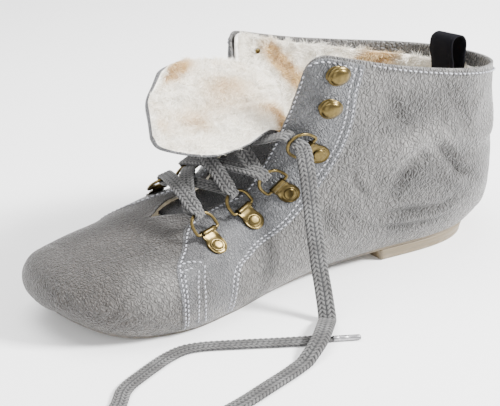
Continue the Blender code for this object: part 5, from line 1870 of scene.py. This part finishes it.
@dataclass(frozen=True)
class Underside:
    """The thin sole with rounded edges, and the low heel with its layers."""

    heel_length: float = 0.067
    tuck: float = 0.0006             # how far both stay inside the upper's lower edge

    def loop(self, inset: float, count: int) -> np.ndarray:
        """Closed outline shifted inwards by an inset.

        Args:
            inset: metres inwards.
            count: points on a side.

        Returns:
            The outline's points.
        """
        tips = EDGE_OUTLINE[0][0], EDGE_OUTLINE[-1][0]
        share = tips[0] + (tips[1] - tips[0]) * (1 - np.cos(np.linspace(0, math.pi, count))) / 2
        inner, outer = LAST.edge_halves(np.clip(share, tips[0] + 1e-6, tips[1] - 1e-6))
        inner[[0, -1]] = 0
        outer[[0, -1]] = 0
        x = HEEL_SETBACK - share * LENGTH
        loop = np.concatenate([np.stack([x, -inner], 1), np.stack([x, outer], 1)[-2:0:-1]])
        tangent = unit(np.roll(loop, -1, 0) - np.roll(loop, 1, 0))
        normal = np.stack([-tangent[:, 1], tangent[:, 0]], 1)
        if ((loop.mean(0) - loop) * normal).sum() < 0:
            normal = -normal
        return loop + normal * inset

    def sole(self) -> None:
        """The sole between the upper and the heel."""
        count = 110
        thick = SOLE_THICKNESS
        stack = ((self.tuck + 0.0005, -SEAM), (self.tuck + 0.0001, -SEAM - 0.0003),
                 (self.tuck, -SEAM - 0.0010), (self.tuck, -SEAM - thick + 0.0008),
                 (self.tuck + 0.0002, -SEAM - thick + 0.0002), (self.tuck + 0.0007, -SEAM - thick))
        rings = []
        for inset, drop in stack:
            loop = self.loop(inset, count)
            z = LAST.edge_height((HEEL_SETBACK - loop[:, 0]) / LENGTH) + drop
            rings.append(np.column_stack([loop, z]))
        points, faces = tube(np.array(rings))
        faces = faces[:-2]
        size = len(rings[0])
        last = (len(rings) - 1) * size
        for ring, flip in ((0, False), (last, True)):
            for k in range(count - 1):
                a, b = ring + k, ring + k + 1
                c, d = ring + (size - k - 1) % size, ring + (size - k) % size
                quad = [v for n, v in enumerate((a, b, c, d)) if v not in (a, b, c, d)[:n]]
                if len(quad) > 2:
                    faces.append(quad if flip else quad[::-1])
        piece("sole", points, faces, Finishes.HEEL, ("outsole",))

    def heel(self) -> None:
        """The heel block with a slightly worn lower edge."""
        loop = self.loop(self.tuck, 60)
        near, far = loop[:60], np.vstack([loop[0], loop[:58:-1]])
        front = HEEL_SETBACK - self.heel_length
        back = near[0, 0]
        round_back = back - 0.008 * np.linspace(0, 1, 26)[:-1] ** 1.7
        x = np.concatenate([round_back, np.linspace(back - 0.008, front, 40)])
        near_y = np.interp(-x, -near[:, 0], near[:, 1])
        far_y = np.interp(-x, -far[:, 0], far[:, 1])
        bow_front = np.linspace(0, 1, 16)[1:-1]
        front_y = near_y[-1] + (far_y[-1] - near_y[-1]) * bow_front
        edge = [(a, b) for a, b in zip(x, near_y)] + [(front, b) for b in front_y]
        edge += [(a, b) for a, b in zip(x, far_y)][::-1][:-1]
        edge = np.array(edge)
        direction = unit(edge - edge.mean(0))
        top = LAST.edge_height((HEEL_SETBACK - edge[:, 0]) / LENGTH) - SEAM * 2 - SOLE_THICKNESS
        rings = []
        for level, taper in ((0.0, 0.0018), (0.03, 0.0013), (0.10, 0.0011), (0.36, 0.00085), (0.38, 0.00100),
                             (0.40, 0.00085), (0.92, 0.0001), (1.0, 0.0003)):
            flat = edge - direction * taper
            rings.append(np.column_stack([flat, top * level]))
        points, faces = tube(np.array(rings))
        piece("heel_block", points, faces, Finishes.HEEL, ("heel",))


@dataclass(frozen=True)
class RibbonLoop:
    """The ribbon loop that stands at the collar's back."""

    width: float = 0.0140
    thickness: float = 0.0012
    seat: float = 0.0016             # its way from the lining's face

    def build(self) -> bpy.types.Object:
        """The ribbon with soft edges, up from inside the collar and back down.

        Returns:
            The piece.
        """
        back = LAST.wall(FAR, COLLAR_ROW, 0.0)[0]
        base = back[0] - UPPER_WALL - self.thickness - self.seat
        path = [(base, back[2] - 0.016), (base, back[2] - 0.002), (base + 0.0005, back[2] + 0.006),
                (base - 0.0010, back[2] + 0.0105), (base - 0.0040, back[2] + 0.0120),
                (base - 0.0068, back[2] + 0.0100), (base - 0.0072, back[2] + 0.0040),
                (base - 0.0060, back[2] - 0.0040), (base - 0.0052, back[2] - 0.0140)]
        path = catmull(np.array(path), np.linspace(0, len(path) - 1, 90))
        tangent = unit(np.gradient(path, axis=0))
        lanes = np.array([-1, -0.96, -0.5, 0, 0.5, 0.96, 1])
        half = np.array([0.25, 0.9, 1.0, 0.92, 1.0, 0.9, 0.25]) * self.thickness / 2
        rings = []
        for (x, z), (dx, dz) in zip(path, tangent):
            top = [(x - dz * c, w * self.width / 2, z + dx * c) for w, c in zip(lanes, half)]
            low = [(x + dz * c, w * self.width / 2, z - dx * c) for w, c in zip(lanes[::-1], half[::-1])]
            rings.append(top + low)
        points, faces = tube(np.array(rings))
        return piece("ribbon_loop", points, faces, Finishes.RIBBON, ("pull_loop",))


@dataclass(frozen=True)
class Studio:
    """The camera, the pale floor and the soft lights.

    Angles are in degrees, the focal length and the lens's centre in pixels of the picture.
    """

    azimuth: float = 2.87
    elevation: float = 22.0
    roll: float = -17.1
    distance: float = 0.5289
    focal: float = 934.8
    centre: tuple[float, float] = (-367.2, 227.1)
    target: tuple[float, float, float] = (-0.4419, 0.0, 0.1359)
    picture: tuple[int, int] = (500, 406)
    boot: tuple[float, float, float] = (-0.10, 0.0, 0.05)

    def camera(self) -> None:
        """A camera whose picture is off its lens's axis, as in a crop.

        A rig's stretch leans the camera's axis to the picture's middle; once the camera leaves the rig it is
        a plain one again.
        """
        a, e, r = (math.radians(v) for v in (self.azimuth, self.elevation, self.roll))
        back = np.array([math.sin(a) * math.cos(e), -math.cos(a) * math.cos(e), math.sin(e)])
        flat = np.array([math.cos(a), math.sin(a), 0])
        rise = np.cross(back, flat)
        right = flat * math.cos(r) + rise * math.sin(r)
        up = rise * math.cos(r) - flat * math.sin(r)
        eye = np.array(self.target) + back * self.distance
        shift_x = (self.picture[0] / 2 - self.centre[0]) / self.focal
        shift_y = (self.centre[1] - self.picture[1] / 2) / self.focal
        lean = back - right * shift_x - up * shift_y
        size = float(np.linalg.norm(lean))
        axes = np.column_stack([right, up, lean / size])
        u, s, v = np.linalg.svd(axes)
        if np.linalg.det(u) < 0:
            u = -u
            v = -v
        rig = bpy.data.objects.new("camera_rig", None)
        bpy.context.scene.collection.objects.link(rig)
        rig.rotation_mode = 'QUATERNION'
        rig.rotation_quaternion = Matrix(u.tolist()).to_quaternion()
        rig.scale = s.tolist()
        data = bpy.data.cameras.new("camera")
        data.sensor_width = 36
        data.lens = self.focal * size * 36 / self.picture[0]
        data.clip_start = 0.01
        made = bpy.data.objects.new("camera", data)
        bpy.context.scene.collection.objects.link(made)
        made.parent = rig
        made.rotation_mode = 'QUATERNION'
        made.rotation_quaternion = Matrix(v.tolist()).to_quaternion()
        made.location = ((u.T @ eye) / s).tolist()
        bpy.context.scene.camera = made

    def lamp(self, name: str, place: tuple, size: float, power: float) -> None:
        """A square soft light that faces the boot.

        Args:
            name: the lamp's name.
            place: where it stands.
            size: its edge.
            power: watts.
        """
        data = bpy.data.lights.new(name, 'AREA')
        data.size = size
        data.energy = power
        made = bpy.data.objects.new(name, data)
        made.location = place
        made.rotation_euler = (Vector(self.boot) - Vector(place)).to_track_quat('-Z', 'Y').to_euler()
        bpy.context.scene.collection.objects.link(made)

    def floor(self) -> None:
        """A pale sheet under everything."""
        mesh = bpy.data.meshes.new("floor")
        mesh.from_pydata([(-4, -4, 0), (4, -4, 0), (4, 4, 0), (-4, 4, 0)], [], [(0, 1, 2, 3)])
        made = bpy.data.objects.new("floor", mesh)
        material = bpy.data.materials.new("floor")
        material.use_nodes = True
        shader = material.node_tree.nodes["Principled BSDF"]
        graph = Graph(material.node_tree)
        place = graph.add("ShaderNodeTexCoord").outputs["Object"]
        slow = graph.add("ShaderNodeTexNoise", {"Vector": place, "Scale": 4.0}).outputs["Fac"]
        graph.tree.links.new(graph.mix(slow, (0.90, 0.90, 0.90, 1), (0.93, 0.93, 0.93, 1)),
                             shader.inputs["Base Color"])
        shader.inputs["Roughness"].default_value = 0.9
        mesh.materials.append(material)
        bpy.context.scene.collection.objects.link(made)

    def light(self) -> None:
        """Soft light from above and the camera's right, with a bright surround."""
        world = bpy.data.worlds.new("surround")
        world.use_nodes = True
        sky = world.node_tree.nodes["Background"]
        sky.inputs["Color"].default_value = (1, 1, 1, 1)
        sky.inputs["Strength"].default_value = 1.0
        bpy.context.scene.world = world
        self.lamp("key", (0.62, -0.62, 0.85), 0.32, 62.0)
        self.lamp("top", (-0.25, 0.25, 1.3), 1.0, 26.0)
        self.lamp("fill", (-1.0, -0.7, 0.6), 0.9, 7.0)


def main() -> None:
    """Builds the sub-assemblies in order, the camera and the cord first."""
    logging.basicConfig(level=logging.INFO)
    studio = Studio()
    studio.camera()
    lace = Lace()
    lace.free_end()
    lace.crossings()
    upper = Upper()
    upper.hide()
    upper.panel(NEAR)
    upper.panel(FAR)
    upper.collar_row()
    SEWING.done()
    Lining().build()
    Tongue().build()
    Hardware().build()
    under = Underside()
    under.sole()
    under.heel()
    RibbonLoop().build()
    studio.floor()
    studio.light()
    LOG.info("every piece is made")


if __name__ == "__main__":
    main()
